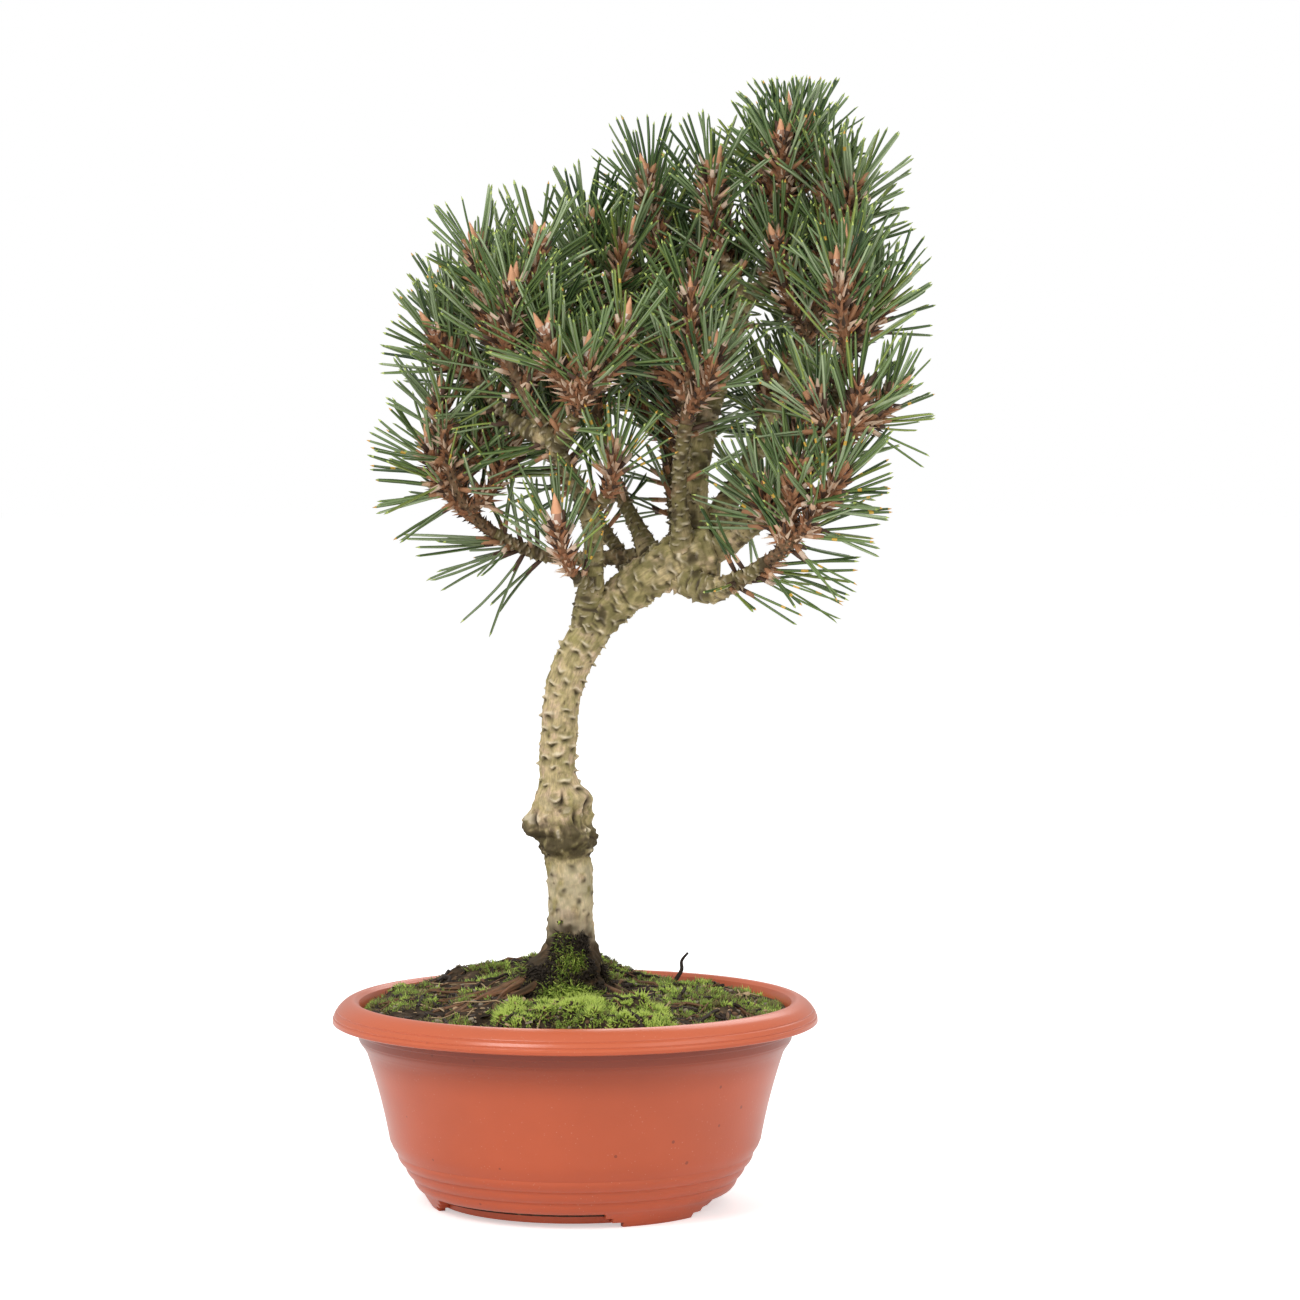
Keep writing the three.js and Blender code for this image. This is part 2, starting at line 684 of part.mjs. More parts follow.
// A shoot is a slim tube, and a facet that grows a needle is drawn out to the needle's tip.
function needledShoot(owner, shoot, droop, random) {
  const length = shoot.getLength();
  const rings = Math.round(length / SHOOT_RING);
  const twig = tube(shoot, shootRadius, SHOOT_SIDES, rings);
  const corners = twig.index.array;
  const places = Array.from(twig.attributes.position.array);
  const faces = [];
  for (let face = 0; face < corners.length / 3; face += 1) {
    const [a, b, c] = corners.slice(3 * face, 3 * face + 3);
    const ring = Math.floor(face / 2) % rings;
    const facet = 2 * Math.floor(face / (2 * rings)) + (face % 2);
    const along = 1 - (ring + 0.5) / rings;
    let tip = null;
    if (facet < 2 * SHOOT_SIDES && along * length > BARE_LENGTH && growsNeedle(facet, ring)) {
      const root = new THREE.Vector3();
      for (const corner of [a, b, c]) {
        root.add(new THREE.Vector3().fromArray(places, 3 * corner).divideScalar(3));
      }
      tip = needleTip(owner, shoot, root, along, droop, random);
    }
    if (tip) {
      const apex = places.length / 3;
      places.push(tip.x, tip.y, tip.z);
      faces.push(a, b, apex, b, c, apex, c, a, apex);
    } else {
      faces.push(a, b, c);
    }
  }
  return solid(places, faces);
}

function makeMass(mass, owner) {
  const random = seededRandom(1000 + owner);
  const shoots = crown.filter((entry) => entry.owner === owner);
  const solids = shoots.map(({ shoot }) => needledShoot(owner, shoot, mass.droop, random));
  return piece(mass.name, wasm.Manifold.union(solids), NEEDLES);
}

const pine = new THREE.Group();
pine.add(makeBowl(), makeSoil(), makeTrunk());
pine.add(...makeBoughs());
pine.add(...MASSES.map(makeMass));

export default pine;
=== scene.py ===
"""Potted Kotobuki black pine: bark, shoots, needles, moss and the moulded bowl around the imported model."""

import itertools
import math

import bpy
import numpy as np
from bpy.props import FloatProperty, FloatVectorProperty, IntProperty, PointerProperty
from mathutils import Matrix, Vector


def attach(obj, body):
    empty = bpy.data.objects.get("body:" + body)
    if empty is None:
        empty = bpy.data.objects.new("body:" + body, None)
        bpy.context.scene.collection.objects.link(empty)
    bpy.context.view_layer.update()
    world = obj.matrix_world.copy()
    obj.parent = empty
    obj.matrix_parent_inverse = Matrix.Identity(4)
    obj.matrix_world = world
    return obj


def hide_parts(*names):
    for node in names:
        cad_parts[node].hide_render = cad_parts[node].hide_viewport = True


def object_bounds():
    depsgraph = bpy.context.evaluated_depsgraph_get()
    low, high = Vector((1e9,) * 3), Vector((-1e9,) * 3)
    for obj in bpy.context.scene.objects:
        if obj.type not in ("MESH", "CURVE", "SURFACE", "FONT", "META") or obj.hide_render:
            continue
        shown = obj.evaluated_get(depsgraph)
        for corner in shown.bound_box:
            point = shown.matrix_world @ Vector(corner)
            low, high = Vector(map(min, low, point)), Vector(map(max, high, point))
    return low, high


bl_info = {
    "name": "Potted Black Pine",
    "version": (1, 0, 0),
    "blender": (4, 5, 0),
    "location": "View3D > Sidebar > Pine",
    "description": "Grows a grafted black pine in its plastic bowl around a packed model",
    "category": "Add Mesh",
}

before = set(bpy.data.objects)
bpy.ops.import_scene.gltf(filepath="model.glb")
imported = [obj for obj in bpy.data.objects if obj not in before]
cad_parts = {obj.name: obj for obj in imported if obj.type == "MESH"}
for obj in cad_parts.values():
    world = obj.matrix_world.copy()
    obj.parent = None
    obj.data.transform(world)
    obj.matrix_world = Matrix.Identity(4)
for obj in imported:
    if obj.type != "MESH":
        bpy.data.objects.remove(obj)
CAD_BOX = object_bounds()

# Lengths in this script are millimetres until a mesh is made, which is in metres.
MM = 0.001
GOLDEN = math.radians(137.508)
FULL_TURN = 2 * math.pi
MOSS_SEED, LITTER_SEED, NEEDLE_SEED, BUD_SEED, SCALE_SEED, STRAND_SEED = range(7, 13)

# The bowl, as the solid has it.
RIM_RADIUS = 110.5
BOWL_HEIGHT = 93.5
COLLAR_HEIGHT = 76
COLLAR_RADIUS = 98.8
NECK_HEIGHT = 71
NECK_RADIUS = 95.4
SHOULDER_RADIUS = 84.5
SHOULDER_HEIGHT = 28.5
FOOT_RADIUS = 66
FOOT_HEIGHT = 6.8
BASE_RADIUS = 63
BASE_RECESS = 1.5
FLOOR_HEIGHT = 5
WALL = 2.6
TERRACES = 3
TERRACE_HEIGHT = 5.5
TERRACE_BULGE = 1.1
FEET = 3
FIRST_FOOT = 66
FOOT_HALF_ANGLE = 17
NOTCH_STEPS = 3
NOTCH_STEP_ANGLE = 3.5
LIP_SECTION = [
    (11.4, 9.3), (1.2, 9.3), (0.9, 10.6), (0, 10.1), (0.1, 8), (2, 4.5), (5.6, 1.2), (9.4, 0),
    (12, 1.5),
]

# The soil's mound.
SOIL_TOP = 96
SOIL_EDGE = 88.5
SOIL_PAD_RADIUS = 26
GAP = 0.3

# The trunk.
TRUNK_PATH = [
    (-2, 0, 90), (-2, 0, 120), (-3, 0, 156), (-7, 0, 180), (-8, 0, 205), (-6, 0, 228),
    (-1, 0, 246), (7, -1, 260), (17, -3, 272), (30, -5, 283), (45, -6, 292), (62, -6, 297),
]
STOCK_RADIUS = 10
SCION_RADIUS = 8.1
CROWN_RADIUS = 12.8
ROOT_FLARE = 13
ROOT_FLARE_HEIGHT = 13
GRAFT_HEIGHT = 76
GRAFT_SWELL = 6.8
GRAFT_SPREAD_BELOW = 6.5
GRAFT_SPREAD_ABOVE = 18

# Surface roots: compass angle, reach, sideways bow and radius.
ROOTS = [(214, 66, 5, 4.6), (236, 70, -12, 3.6), (330, 30, 3, 4.2), (100, 34, 4, 4.4)]
ROOT_BENDS = 4
ROOT_RISE = 8

# Boughs: name, radius at both ends, and the places each one passes.
BOUGHS = [
    ("bough_leader", 5.8, 3.9,
     [(53, -4, 292), (54, -5, 312), (56, -4, 336), (61, 1, 360), (70, 4, 390), (78, 5, 413)]),
    ("bough_right", 5.8, 3.2,
     [(58, 0, 294), (66, 6, 314), (78, 13, 333), (91, 20, 363), (102, 18, 386)]),
    ("bough_right_front", 4.8, 3.1,
     [(58, -7, 294), (76, -14, 306), (94, -30, 321), (104, -39, 332), (114, -45, 341)]),
    ("bough_low_right", 5.6, 2.6,
     [(48, -8, 286), (61, -16, 280), (74, -28, 285), (86, -38, 293)]),
    ("bough_right_rear", 4.2, 2.9, [(60, -2, 295), (75, 18, 311), (87, 37, 327)]),
    ("bough_centre", 4, 2.9, [(49, -9, 291), (48, -16, 306), (47, -22, 330), (50, -26, 354)]),
    ("bough_centre_rear", 4.2, 2.6, [(50, -2, 292), (52, 14, 318), (51, 20, 340), (49, 22, 364)]),
    ("bough_back", 4, 2.5, [(44, -2, 289), (46, 20, 306), (43, 41, 332)]),
    ("bough_left_rear", 4.3, 2.5, [(38, -3, 287), (29, 14, 306), (20, 27, 324), (13, 32, 346)]),
    ("bough_back_left", 3.8, 2.4, [(28, -2, 279), (20, 18, 296), (4, 38, 318)]),
    ("bough_low_left", 3.9, 2.5,
     [(44, -2, 291), (26, 10, 294), (2, 19, 293), (-20, 21, 296), (-37, 15, 305)]),
    ("bough_upright", 5.2, 3.3,
     [(5, -1, 262), (8, -10, 288), (8, -14, 308), (-3, -18, 334), (-17, -20, 358)]),
    ("bough_left", 3.2, 2.5, [(-12, -19, 347), (-26, -12, 355), (-38, -6, 366)]),
    ("bough_front", 3, 2.4, [(-8, -19, 342), (-4, -27, 350), (1, -32, 358)]),
    ("bough_inner", 2.4, 2, [(7, -15, 314), (11, -21, 318), (14, -24, 322)]),
    ("bough_low_front", 2.4, 2, [(8, -9, 282), (3, -17, 284), (0, -21, 287)]),
    ("bough_top_centre", 3.1, 2.5, [(77, 5, 411), (71, 7, 422), (67, 7, 431)]),
    ("bough_top", 3.4, 2.7, [(77, 4, 410), (88, 6, 420), (93, 8, 434)]),
    ("bough_top_back", 3, 2.4, [(70, 5, 389), (73, 18, 401), (72, 27, 410)]),
    ("bough_right_back", 3, 2.4, [(90, 20, 361), (101, 32, 378), (107, 40, 390)]),
    ("bough_right_top", 3, 2.4, [(101, -36, 328), (107, -36, 344), (114, -38, 360), (119, -40, 376)]),
]
COLLAR_SWELL = 0.35
LIMB_LINE = 6

# Masses: name, the bough that bears it, its leading shoot's tip, how many shoots it has, the compass
# angle of the first side shoot, their spread, and how far old needles droop.
MASSES = [
    ("foliage_left_top", "bough_upright", (-44, -14, 432), 5, 15, 40, 0),
    ("foliage_left", "bough_left", (-57, 4, 409), 4, 250, 34, 0),
    ("foliage_front", "bough_front", (7, -46, 382), 4, 215, 44, 0),
    ("foliage_inner", "bough_inner", (17, -30, 342), 1, 0, 0, 20),
    ("foliage_low_front", "bough_low_front", (-7, -31, 309), 1, 0, 0, 20),
    ("foliage_low_left", "bough_low_left", (-60, -6, 368), 6, 200, 48, 35),
    ("foliage_left_rear", "bough_left_rear", (6, 14, 446), 6, 95, 46, 10),
    ("foliage_centre", "bough_centre", (52, -33, 412), 5, 170, 38, 0),
    ("foliage_centre_top", "bough_centre_rear", (32, 10, 466), 5, 60, 38, 0),
    ("foliage_top_centre", "bough_top_centre", (62, 3, 468), 3, 300, 38, 0),
    ("foliage_top", "bough_top", (104, 4, 488), 4, 180, 28, 0),
    ("foliage_right_crest", "bough_right", (114, 0, 469), 5, 40, 36, 0),
    ("foliage_right_rear", "bough_right_rear", (105, 64, 392), 5, 330, 48, 15),
    ("foliage_right_front", "bough_right_front", (127, -50, 370), 4, 215, 42, 15),
    ("foliage_right_top", "bough_right_top", (123, -30, 431), 4, 250, 30, 0),
    ("foliage_low_right", "bough_low_right", (118, -56, 332), 5, 350, 54, 25),
    ("foliage_back_left", "bough_back_left", (-30, 62, 394), 6, 120, 48, 15),
    ("foliage_back", "bough_back", (34, 70, 412), 6, 40, 46, 15),
    ("foliage_top_back", "bough_top_back", (68, 42, 458), 4, 80, 38, 0),
    ("foliage_right_back", "bough_right_back", (119, 48, 436), 4, 20, 42, 0),
]
SHOOT_CLEARANCE = 2.6
SIDE_SHOOT_START = 0.12
SIDE_SHOOT_END = 0.62
SIDE_SHOOT_REACH = 34
SHOOT_LINES = 4
BARE_LENGTH = 7
NEEDLE_LENGTH = 33


# Curves and growth

class Seeded:
    """A linear congruential generator: the same seed always grows the same shoots."""

    def __init__(self, seed):
        self.state = seed

    def between(self, low, high):
        self.state = (self.state * 1664525 + 1013904223) % 2 ** 32
        share = self.state / 2 ** 32
        return low + (high - low) * share


def smooth_line(places, per_span=40):
    """Close points on a centripetal curve that passes through the given places."""
    p = np.asarray(places, float)
    q = np.vstack([2 * p[0] - p[1], p, 2 * p[-1] - p[-2]])
    t = np.linspace(0, 1, per_span, endpoint=False)[:, None]
    spans = []
    for a, b, c, d in zip(q, q[1:], q[2:], q[3:]):
        ab, bc, cd = (math.sqrt(np.linalg.norm(v)) for v in (b - a, c - b, d - c))
        leave = ((b - a) / ab - (c - a) / (ab + bc) + (c - b) / bc) * bc
        reach = ((c - b) / bc - (d - b) / (bc + cd) + (d - c) / cd) * bc
        square = 3 * (c - b) - 2 * leave - reach
        cube = 2 * (b - c) + leave + reach
        spans.append(b + leave * t + square * t ** 2 + cube * t ** 3)
    return np.vstack([*spans, p[-1:]])


def line_length(line):
    return np.linalg.norm(np.diff(line, axis=0), axis=1).sum()


def spaced(line, count):
    """The line again, as count even steps."""
    run = np.concatenate([[0], np.cumsum(np.linalg.norm(np.diff(line, axis=0), axis=1))])
    at = np.linspace(0, run[-1], count + 1)
    return np.column_stack([np.interp(at, run, line[:, k]) for k in range(3)])


def unit(v):
    return v / np.linalg.norm(v, axis=-1, keepdims=True)


def frames_along(points):
    """The tangent at each point, and two directions across it that turn as little as they can."""
    tangents = unit(np.gradient(points, axis=0))
    front = np.array([0.0, -1.0, 0.02])
    across = np.empty_like(points)
    last = front
    for i, tangent in enumerate(tangents):
        last = last - tangent * last.dot(tangent)
        last = last / np.linalg.norm(last)
        across[i] = last
    return tangents, across, np.cross(tangents, across)


def spoke(across, beside, angle):
    """The direction at an angle round an axis, from two directions across it."""
    return across * np.cos(angle) + beside * np.sin(angle)


def compass(degrees, tilt):
    angle, lean = math.radians(degrees), math.radians(tilt)
    return np.array([
        math.cos(angle) * math.sin(lean), math.sin(angle) * math.sin(lean), math.cos(lean),
    ])


def mix(a, b, share):
    return a + (b - a) * share


def smoothstep(x, low, high):
    t = np.clip((x - low) / (high - low), 0, 1)
    return t * t * (3 - 2 * t)


def bezier(control, t):
    a, b, c = control
    t = np.asarray(t, float)[..., None]
    return (1 - t) ** 2 * a + 2 * t * (1 - t) * b + t ** 2 * c


def distances(points, starts, ends):
    """The distance from each point to each straight line."""
    run = ends - starts
    offset = points[:, None, :] - starts[None]
    share = np.clip((offset * run).sum(-1) / (run * run).sum(-1), 0, 1)
    return np.linalg.norm(offset - share[..., None] * run, axis=-1)


TRUNK_LINE = smooth_line(TRUNK_PATH)
TRUNK_LENGTH = line_length(TRUNK_LINE)


def trunk_radius(share):
    height = np.asarray(share) * TRUNK_LENGTH
    graft = height - GRAFT_HEIGHT
    spread = np.where(graft < 0, GRAFT_SPREAD_BELOW, GRAFT_SPREAD_ABOVE)
    blend = smoothstep(graft, -GRAFT_SPREAD_BELOW, GRAFT_SPREAD_ABOVE)
    above = np.maximum(graft, 0) / (TRUNK_LENGTH - GRAFT_HEIGHT)
    scion = mix(SCION_RADIUS, CROWN_RADIUS, above ** 4)
    return (
        mix(STOCK_RADIUS, scion, blend)
        + ROOT_FLARE * np.exp(-height / ROOT_FLARE_HEIGHT)
        + GRAFT_SWELL * np.exp(-((graft / spread) ** 2))
    )


class Limb:
    """A bough: a line that thins evenly to its tip, with a collar at its base."""

    def __init__(self, name, base, tip, path):
        self.name = name
        self.line = smooth_line(path)
        self.length = line_length(self.line)
        self.base = base
        self.tip = tip

    def radius(self, share):
        collar = COLLAR_SWELL * np.exp(-np.asarray(share) * self.length / (3 * self.base))
        return mix(self.base, self.tip, share) * (1 + collar)


LIMBS = [Limb(*row) for row in BOUGHS]


def limb_lines():
    """The trunk and all boughs as short straight lines: their starts, ends and radii."""
    starts, ends, radii = [], [], []
    parts = [(TRUNK_LINE, TRUNK_LENGTH, trunk_radius)]
    parts += [(limb.line, limb.length, limb.radius) for limb in LIMBS]
    for line, length, radius in parts:
        count = math.ceil(length / LIMB_LINE)
        points = spaced(line, count)
        girths = radius(np.linspace(0, 1, count + 1))
        starts.append(points[:-1])
        ends.append(points[1:])
        radii.append(np.maximum(girths[:-1], girths[1:]))
    return np.vstack(starts), np.vstack(ends), np.concatenate(radii)


LIMB_STARTS, LIMB_ENDS, LIMB_RADII = limb_lines()


def grow_shoots(mass, seed):
    """A mass's leading shoot from its bough's tip, and side shoots that leave it by the golden angle."""
    _, bough, tip, count, turn, spread, _ = mass
    random = Seeded(seed)
    line = next(limb.line for limb in LIMBS if limb.name == bough)
    heading = unit(line[-1] - line[-2])
    foot = line[-1] + heading * GAP
    tip = np.array(tip, float)
    bend = foot + heading * np.linalg.norm(tip - foot) * 0.4
    leader = np.array([foot, bend, tip])
    shoots = [leader]
    for i in range(1, count):
        start = bezier(leader, mix(SIDE_SHOOT_START, SIDE_SHOOT_END, i / count))
        angle = turn + math.degrees((i - 1) * GOLDEN) + random.between(-10, 10)
        reach = SIDE_SHOOT_REACH * random.between(0.8, 1.1)
        elbow = start + compass(angle, spread * 1.25) * reach * 0.5
        end = elbow + compass(angle, spread * 0.6) * reach * 0.5
        shoots.append(np.array([start, elbow, end]))
    return shoots


def has_room(owner, shoot, crown):
    """A shoot has room where it keeps clear of every limb and of the other masses' shoots."""
    points = bezier(shoot, np.arange(1, 2 * SHOOT_LINES + 1) / (2 * SHOOT_LINES))
    if (distances(points, LIMB_STARTS, LIMB_ENDS) <= LIMB_RADII + SHOOT_CLEARANCE).any():
        return False
    for other, control in crown:
        if other != owner:
            line = bezier(control, np.linspace(0, 1, SHOOT_LINES + 1))
            if (distances(points, line[:-1], line[1:]) <= 2 * SHOOT_CLEARANCE).any():
                return False
    return True


def grow_crown():
    """All shoots with their masses: first the leading shoots, then the side shoots that find room."""
    grown = [grow_shoots(mass, owner + 1) for owner, mass in enumerate(MASSES)]
    crown = [(owner, shoots[0]) for owner, shoots in enumerate(grown)]
    for owner, shoots in enumerate(grown):
        for shoot in shoots[1:]:
            if has_room(owner, shoot, crown):
                crown.append((owner, shoot))
    return crown


CROWN = grow_crown()


# Surfaces

def noise(points, cell, seed=0):
    """Smooth noise from -1 to 1 whose lumps are about a cell wide."""
    place = np.asarray(points) / cell
    base = np.floor(place).astype(np.int64)
    share = place - base
    share = share * share * (3 - 2 * share)
    total = 0
    for corner in itertools.product((0, 1), repeat=3):
        code = ((base + corner) * (73856093, 19349663, 83492791)).sum(-1) + seed * 374761393
        code = ((code ^ (code >> 13)) * 1274126177) & 0xFFFFFFFF
        value = ((code ^ (code >> 16)) & 0xFFFFFF) / 0x7FFFFF - 1
        total = total + value * np.where(corner, share, 1 - share).prod(-1)
    return total


def noise_at(place, cell, seed):
    """The noise at one place."""
    return noise(np.array([place]), cell, seed)[0]


def bump(x, middle, width):
    return np.exp(-(((x - middle) / width) ** 2))


# What a skin's masks mark: dark spots and painted shade in hollows, pale raised edges with painted
# highlights, streaks and painted shade below scars, and how thin or young the wood is.
MASKS = ("dark_and_shade", "lip", "stain_and_shade", "age")

# How far a skin's ends bulge, as a share of its radius there.
END_DOME = 0.35

# The most triangles that a piece of small copies has.
PIECE_LIMIT = 190000


class Skin:
    """A limb's surface: rings of places along a line, with relief and masks to be worked into it."""

    def __init__(self, line, radius, sides, step):
        rings = max(math.ceil(line_length(line) / step), 3)
        self.line = spaced(line, rings)
        self.share = np.linspace(0, 1, rings + 1)
        self.run = self.share * line_length(line)
        self.radius = radius(self.share)
        self.angle = np.linspace(0, FULL_TURN, sides, endpoint=False)
        self.tangent, across, beside = frames_along(self.line)
        self.outward = spoke(across[:, None], beside[:, None], self.angle[:, None])
        self.relief = np.zeros((rings + 1, sides))
        place = self.line[:, None] + self.outward * self.radius[:, None, None]
        self.sway = np.stack([noise(place, 5, 80) + 0.5 * noise(place, 2, 81), noise(place, 6, 82)])
        self.masks = {name: np.zeros((rings + 1, sides)) for name in MASKS}

    def places(self):
        return self.line[:, None] + self.outward * (self.radius[:, None] + self.relief)[..., None]

    def unrolled(self):
        """The places as if the limb were straight, for grain that runs along it."""
        across = np.cos(self.angle) * self.radius[:, None]
        beside = np.sin(self.angle) * self.radius[:, None]
        along = np.broadcast_to(self.run[:, None], across.shape)
        return np.stack([across, beside, along], -1)

    def scar(self, at, angle, size, proud, wave=0.0):
        """One old needle's scar: a proud wavy lip with a painted highlight, a pit below it painted dark as
        shadow, and an olive stain with painted shadow that runs down.
        """
        rows = np.flatnonzero((self.run > at - 6 * size) & (self.run < at + 3.5 * size))
        if not len(rows):
            return
        first, last = rows[0], rows[-1] + 1
        sway = self.sway[:, first:last] * size
        turn = (self.angle - angle + math.pi) % FULL_TURN - math.pi
        aside = (turn * self.radius[first:last, None] + 0.9 * sway[1]) / size
        curl = 0.05 * aside ** 2 + 0.35 * np.sin(1.3 * aside + 5 * wave)
        below = (at - self.run[first:last, None] + 0.9 * sway[0]) / size + curl
        width = 2.3 + 0.9 * wave
        # Painted light: the lip mask lightens the proud lip as a highlight, the pit mask darkens the hollow
        # under it as shadow, and the stain mask adds olive painted shadow below.
        slope = smoothstep(-below, -2.4, -0.1) * (1 - smoothstep(-below, 0, 0.8)) * bump(aside, 0, 2.0)
        lip = bump(below, 0, 0.5) * bump(aside, 0, width)
        tooth = bump(below, 0.1, 0.6) * bump(aside, 0, 0.9)
        dark_and_shade = bump(below, 1.15, 0.55) * bump(aside, 0, 0.8 * width)
        self.relief[first:last] += proud * (0.22 * slope + 0.5 * lip + 0.6 * tooth - 0.6 * dark_and_shade)
        stain_and_shade = bump(below, 1.9, 1.2) * bump(aside, 0, 1.9)
        for name, mark in (("lip", lip), ("dark_and_shade", dark_and_shade), ("stain_and_shade", stain_and_shade)):
            mask = self.masks[name][first:last]
            np.maximum(mask, mark, out=mask)

    def mark(self, name, amount):
        """Raises a mask to an amount between nothing and all."""
        np.maximum(self.masks[name], np.clip(amount, 0, 1), out=self.masks[name])

    def mesh_data(self):
        """All places with a domed end on both sides, and the masks and unrolled places."""
        ends = self.tangent[[-1, 0]] * self.radius[[-1, 0], None] * [[END_DOME], [-END_DOME]]
        masks = {
            name: np.append(mask.ravel(), [mask[-1].mean(), mask[0].mean()])
            for name, mask in self.masks.items()
        }
        straight = [self.unrolled().reshape(-1, 3), [[0, 0, self.run[-1]], [0, 0, 0]]]
        masks["unrolled"] = np.vstack(straight) * MM
        return np.vstack([self.places().reshape(-1, 3), self.line[[-1, 0]] + ends]), masks


def tube_faces(rings, sides):
    """A closed tube's sides, and the fans to its tip and its foot, whose places follow the rings'."""
    grid = np.arange(rings * sides).reshape(rings, sides)
    after = np.roll(grid, -1, axis=1)
    quads = np.stack([grid[:-1], after[:-1], after[1:], grid[1:]], -1).reshape(-1, 4)
    tip = np.stack([grid[-1], after[-1], np.full(sides, grid.size)], -1)
    foot = np.stack([after[0], grid[0], np.full(sides, grid.size + 1)], -1)
    return quads, tip, foot


def joined(tubes):
    """Closed tubes, each given as its places and its number of sides, as one: places and faces."""
    faces, start = [], 0
    for places, sides in tubes:
        faces += [shape + start for shape in tube_faces((len(places) - 2) // sides, sides)]
        start += len(places)
    return np.vstack([places for places, _ in tubes]), faces


def added(name, data):
    """An object with some data, in the scene."""
    piece = bpy.data.objects.new(name, data)
    bpy.context.scene.collection.objects.link(piece)
    return piece


def choose(piece):
    """Selects one piece alone and makes it active."""
    bpy.ops.object.select_all(action="DESELECT")
    piece.select_set(True)
    bpy.context.view_layer.objects.active = piece


def settle(piece, replaces=()):
    """The piece rides on the plant's one body, and the model's parts that it replaces are hidden."""
    if not len(piece.data.polygons):
        raise RuntimeError(f"{piece.name} has no faces")
    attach(piece, "root")
    if replaces:
        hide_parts(*replaces)


def new_mesh(name, places, faces, materials, tints=None, masks=None, smooth=True, replaces=()):
    """A piece from arrays: places in millimetres, and faces of three or four corners."""
    mesh = bpy.data.meshes.new(name)
    mesh.vertices.add(len(places))
    mesh.vertices.foreach_set("co", (np.asarray(places) * MM).astype(np.float32).ravel())
    corners = np.concatenate([shape.ravel() for shape in faces])
    sizes = np.concatenate([np.full(len(shape), shape.shape[1]) for shape in faces])
    mesh.loops.add(len(corners))
    mesh.loops.foreach_set("vertex_index", corners.astype(np.int32))
    mesh.polygons.add(len(sizes))
    mesh.polygons.foreach_set("loop_start", (np.cumsum(sizes) - sizes).astype(np.int32))
    if tints is not None:
        mesh.polygons.foreach_set("material_index", tints.astype(np.int32))
    mesh.polygons.foreach_set("use_smooth", np.full(len(sizes), smooth))
    for mask, values in (masks or {}).items():
        kind, field = ("FLOAT", "value") if values.ndim == 1 else ("FLOAT_VECTOR", "vector")
        attribute = mesh.attributes.new(mask, kind, "POINT")
        attribute.data.foreach_set(field, values.astype(np.float32).ravel())
    mesh.update(calc_edges=True)
    mesh.validate()
    for material in materials:
        mesh.materials.append(material)
    settle(added(name, mesh), replaces)


def new_copies(name, places, shapes, tints, materials, smooth=True):
    """Copies of one small shape, in pieces of a limited size. Places and tints come copy by copy."""
    count, points = places.shape[:2]
    triangles = count * sum(len(shape) * (shape.shape[1] - 2) for shape in shapes)
    cuts = np.linspace(0, 1, math.ceil(triangles / PIECE_LIMIT) + 1)
    cuts = [round(count * share) for share in cuts]
    tints = [np.broadcast_to(tint, (count, len(shape))) for tint, shape in zip(tints, shapes)]
    for order, (first, last) in enumerate(zip(cuts, cuts[1:])):
        starts = np.arange(last - first)[:, None, None] * points
        faces = [(shape + starts).reshape(-1, shape.shape[1]) for shape in shapes]
        dealt = np.concatenate([tint[first:last].ravel() for tint in tints])
        part = places[first:last].reshape(-1, 3)
        new_mesh(name.format(order + 1), part, faces, materials, dealt, smooth=smooth)


def make_bark(name, finish, colours, skins, replaces):
    """Several skins as one piece, in bark that has its own material."""
    parts = [skin.mesh_data() for skin in skins]
    places, faces = joined([(part[0], len(skin.angle)) for part, skin in zip(parts, skins)])
    masks = {mask: np.concatenate([part[1][mask] for part in parts]) for mask in parts[0][1]}
    bark = bark_material(finish, colours)
    new_mesh(name, places, faces, [bark], masks=masks, replaces=replaces)


def spun(name, profile, steps):
    """A profile of radius and height, spun round the bowl's axis into a closed shell."""
    mesh = bpy.data.meshes.new(name)
    edges = [(i, i + 1) for i in range(len(profile) - 1)]
    mesh.from_pydata([(r * MM, 0, z * MM) for r, z in profile], edges, [])
    piece = added(name, mesh)
    choose(piece)
    bpy.ops.object.mode_set(mode="EDIT")
    bpy.ops.mesh.select_all(action="SELECT")
    bpy.ops.mesh.spin(steps=steps, angle=FULL_TURN, center=(0, 0, 0), axis=(0, 0, 1))
    bpy.ops.mesh.select_all(action="SELECT")
    bpy.ops.mesh.remove_doubles(threshold=0.00002)
    bpy.ops.mesh.normals_make_consistent(inside=False)
    bpy.ops.object.mode_set(mode="OBJECT")
    return piece


# Finishes

def put(tree, socket, value):
    """Links a socket to another one, or sets it to a value or a colour."""
    if isinstance(value, bpy.types.NodeSocket):
        tree.links.new(value, socket)
    else:
        socket.default_value = (*value[:3], 1) if socket.type == "RGBA" else value


def add_node(tree, kind, settings=None, **inputs):
    """A node with its settings, and each named input set to a value or linked to a socket."""
    node = tree.nodes.new(kind)
    for name, value in (settings or {}).items():
        setattr(node, name, value)
    for name, value in inputs.items():
        put(tree, node.inputs[name.replace("_", " ")], value)
    return node


def mixed(tree, share, first, second, mode="MIX"):
    """Two colours mixed by a share, as a colour socket."""
    node = add_node(tree, "ShaderNodeMix", {"data_type": "RGBA", "blend_type": mode})
    for index, value in ((0, share), (6, first), (7, second)):
        put(tree, node.inputs[index], value)
    return node.outputs[2]


def layered(tree, colour, layers):
    """A colour with further ones laid over it, each by its share."""
    for share, tint in layers:
        colour = mixed(tree, share, colour, tint)
    return colour


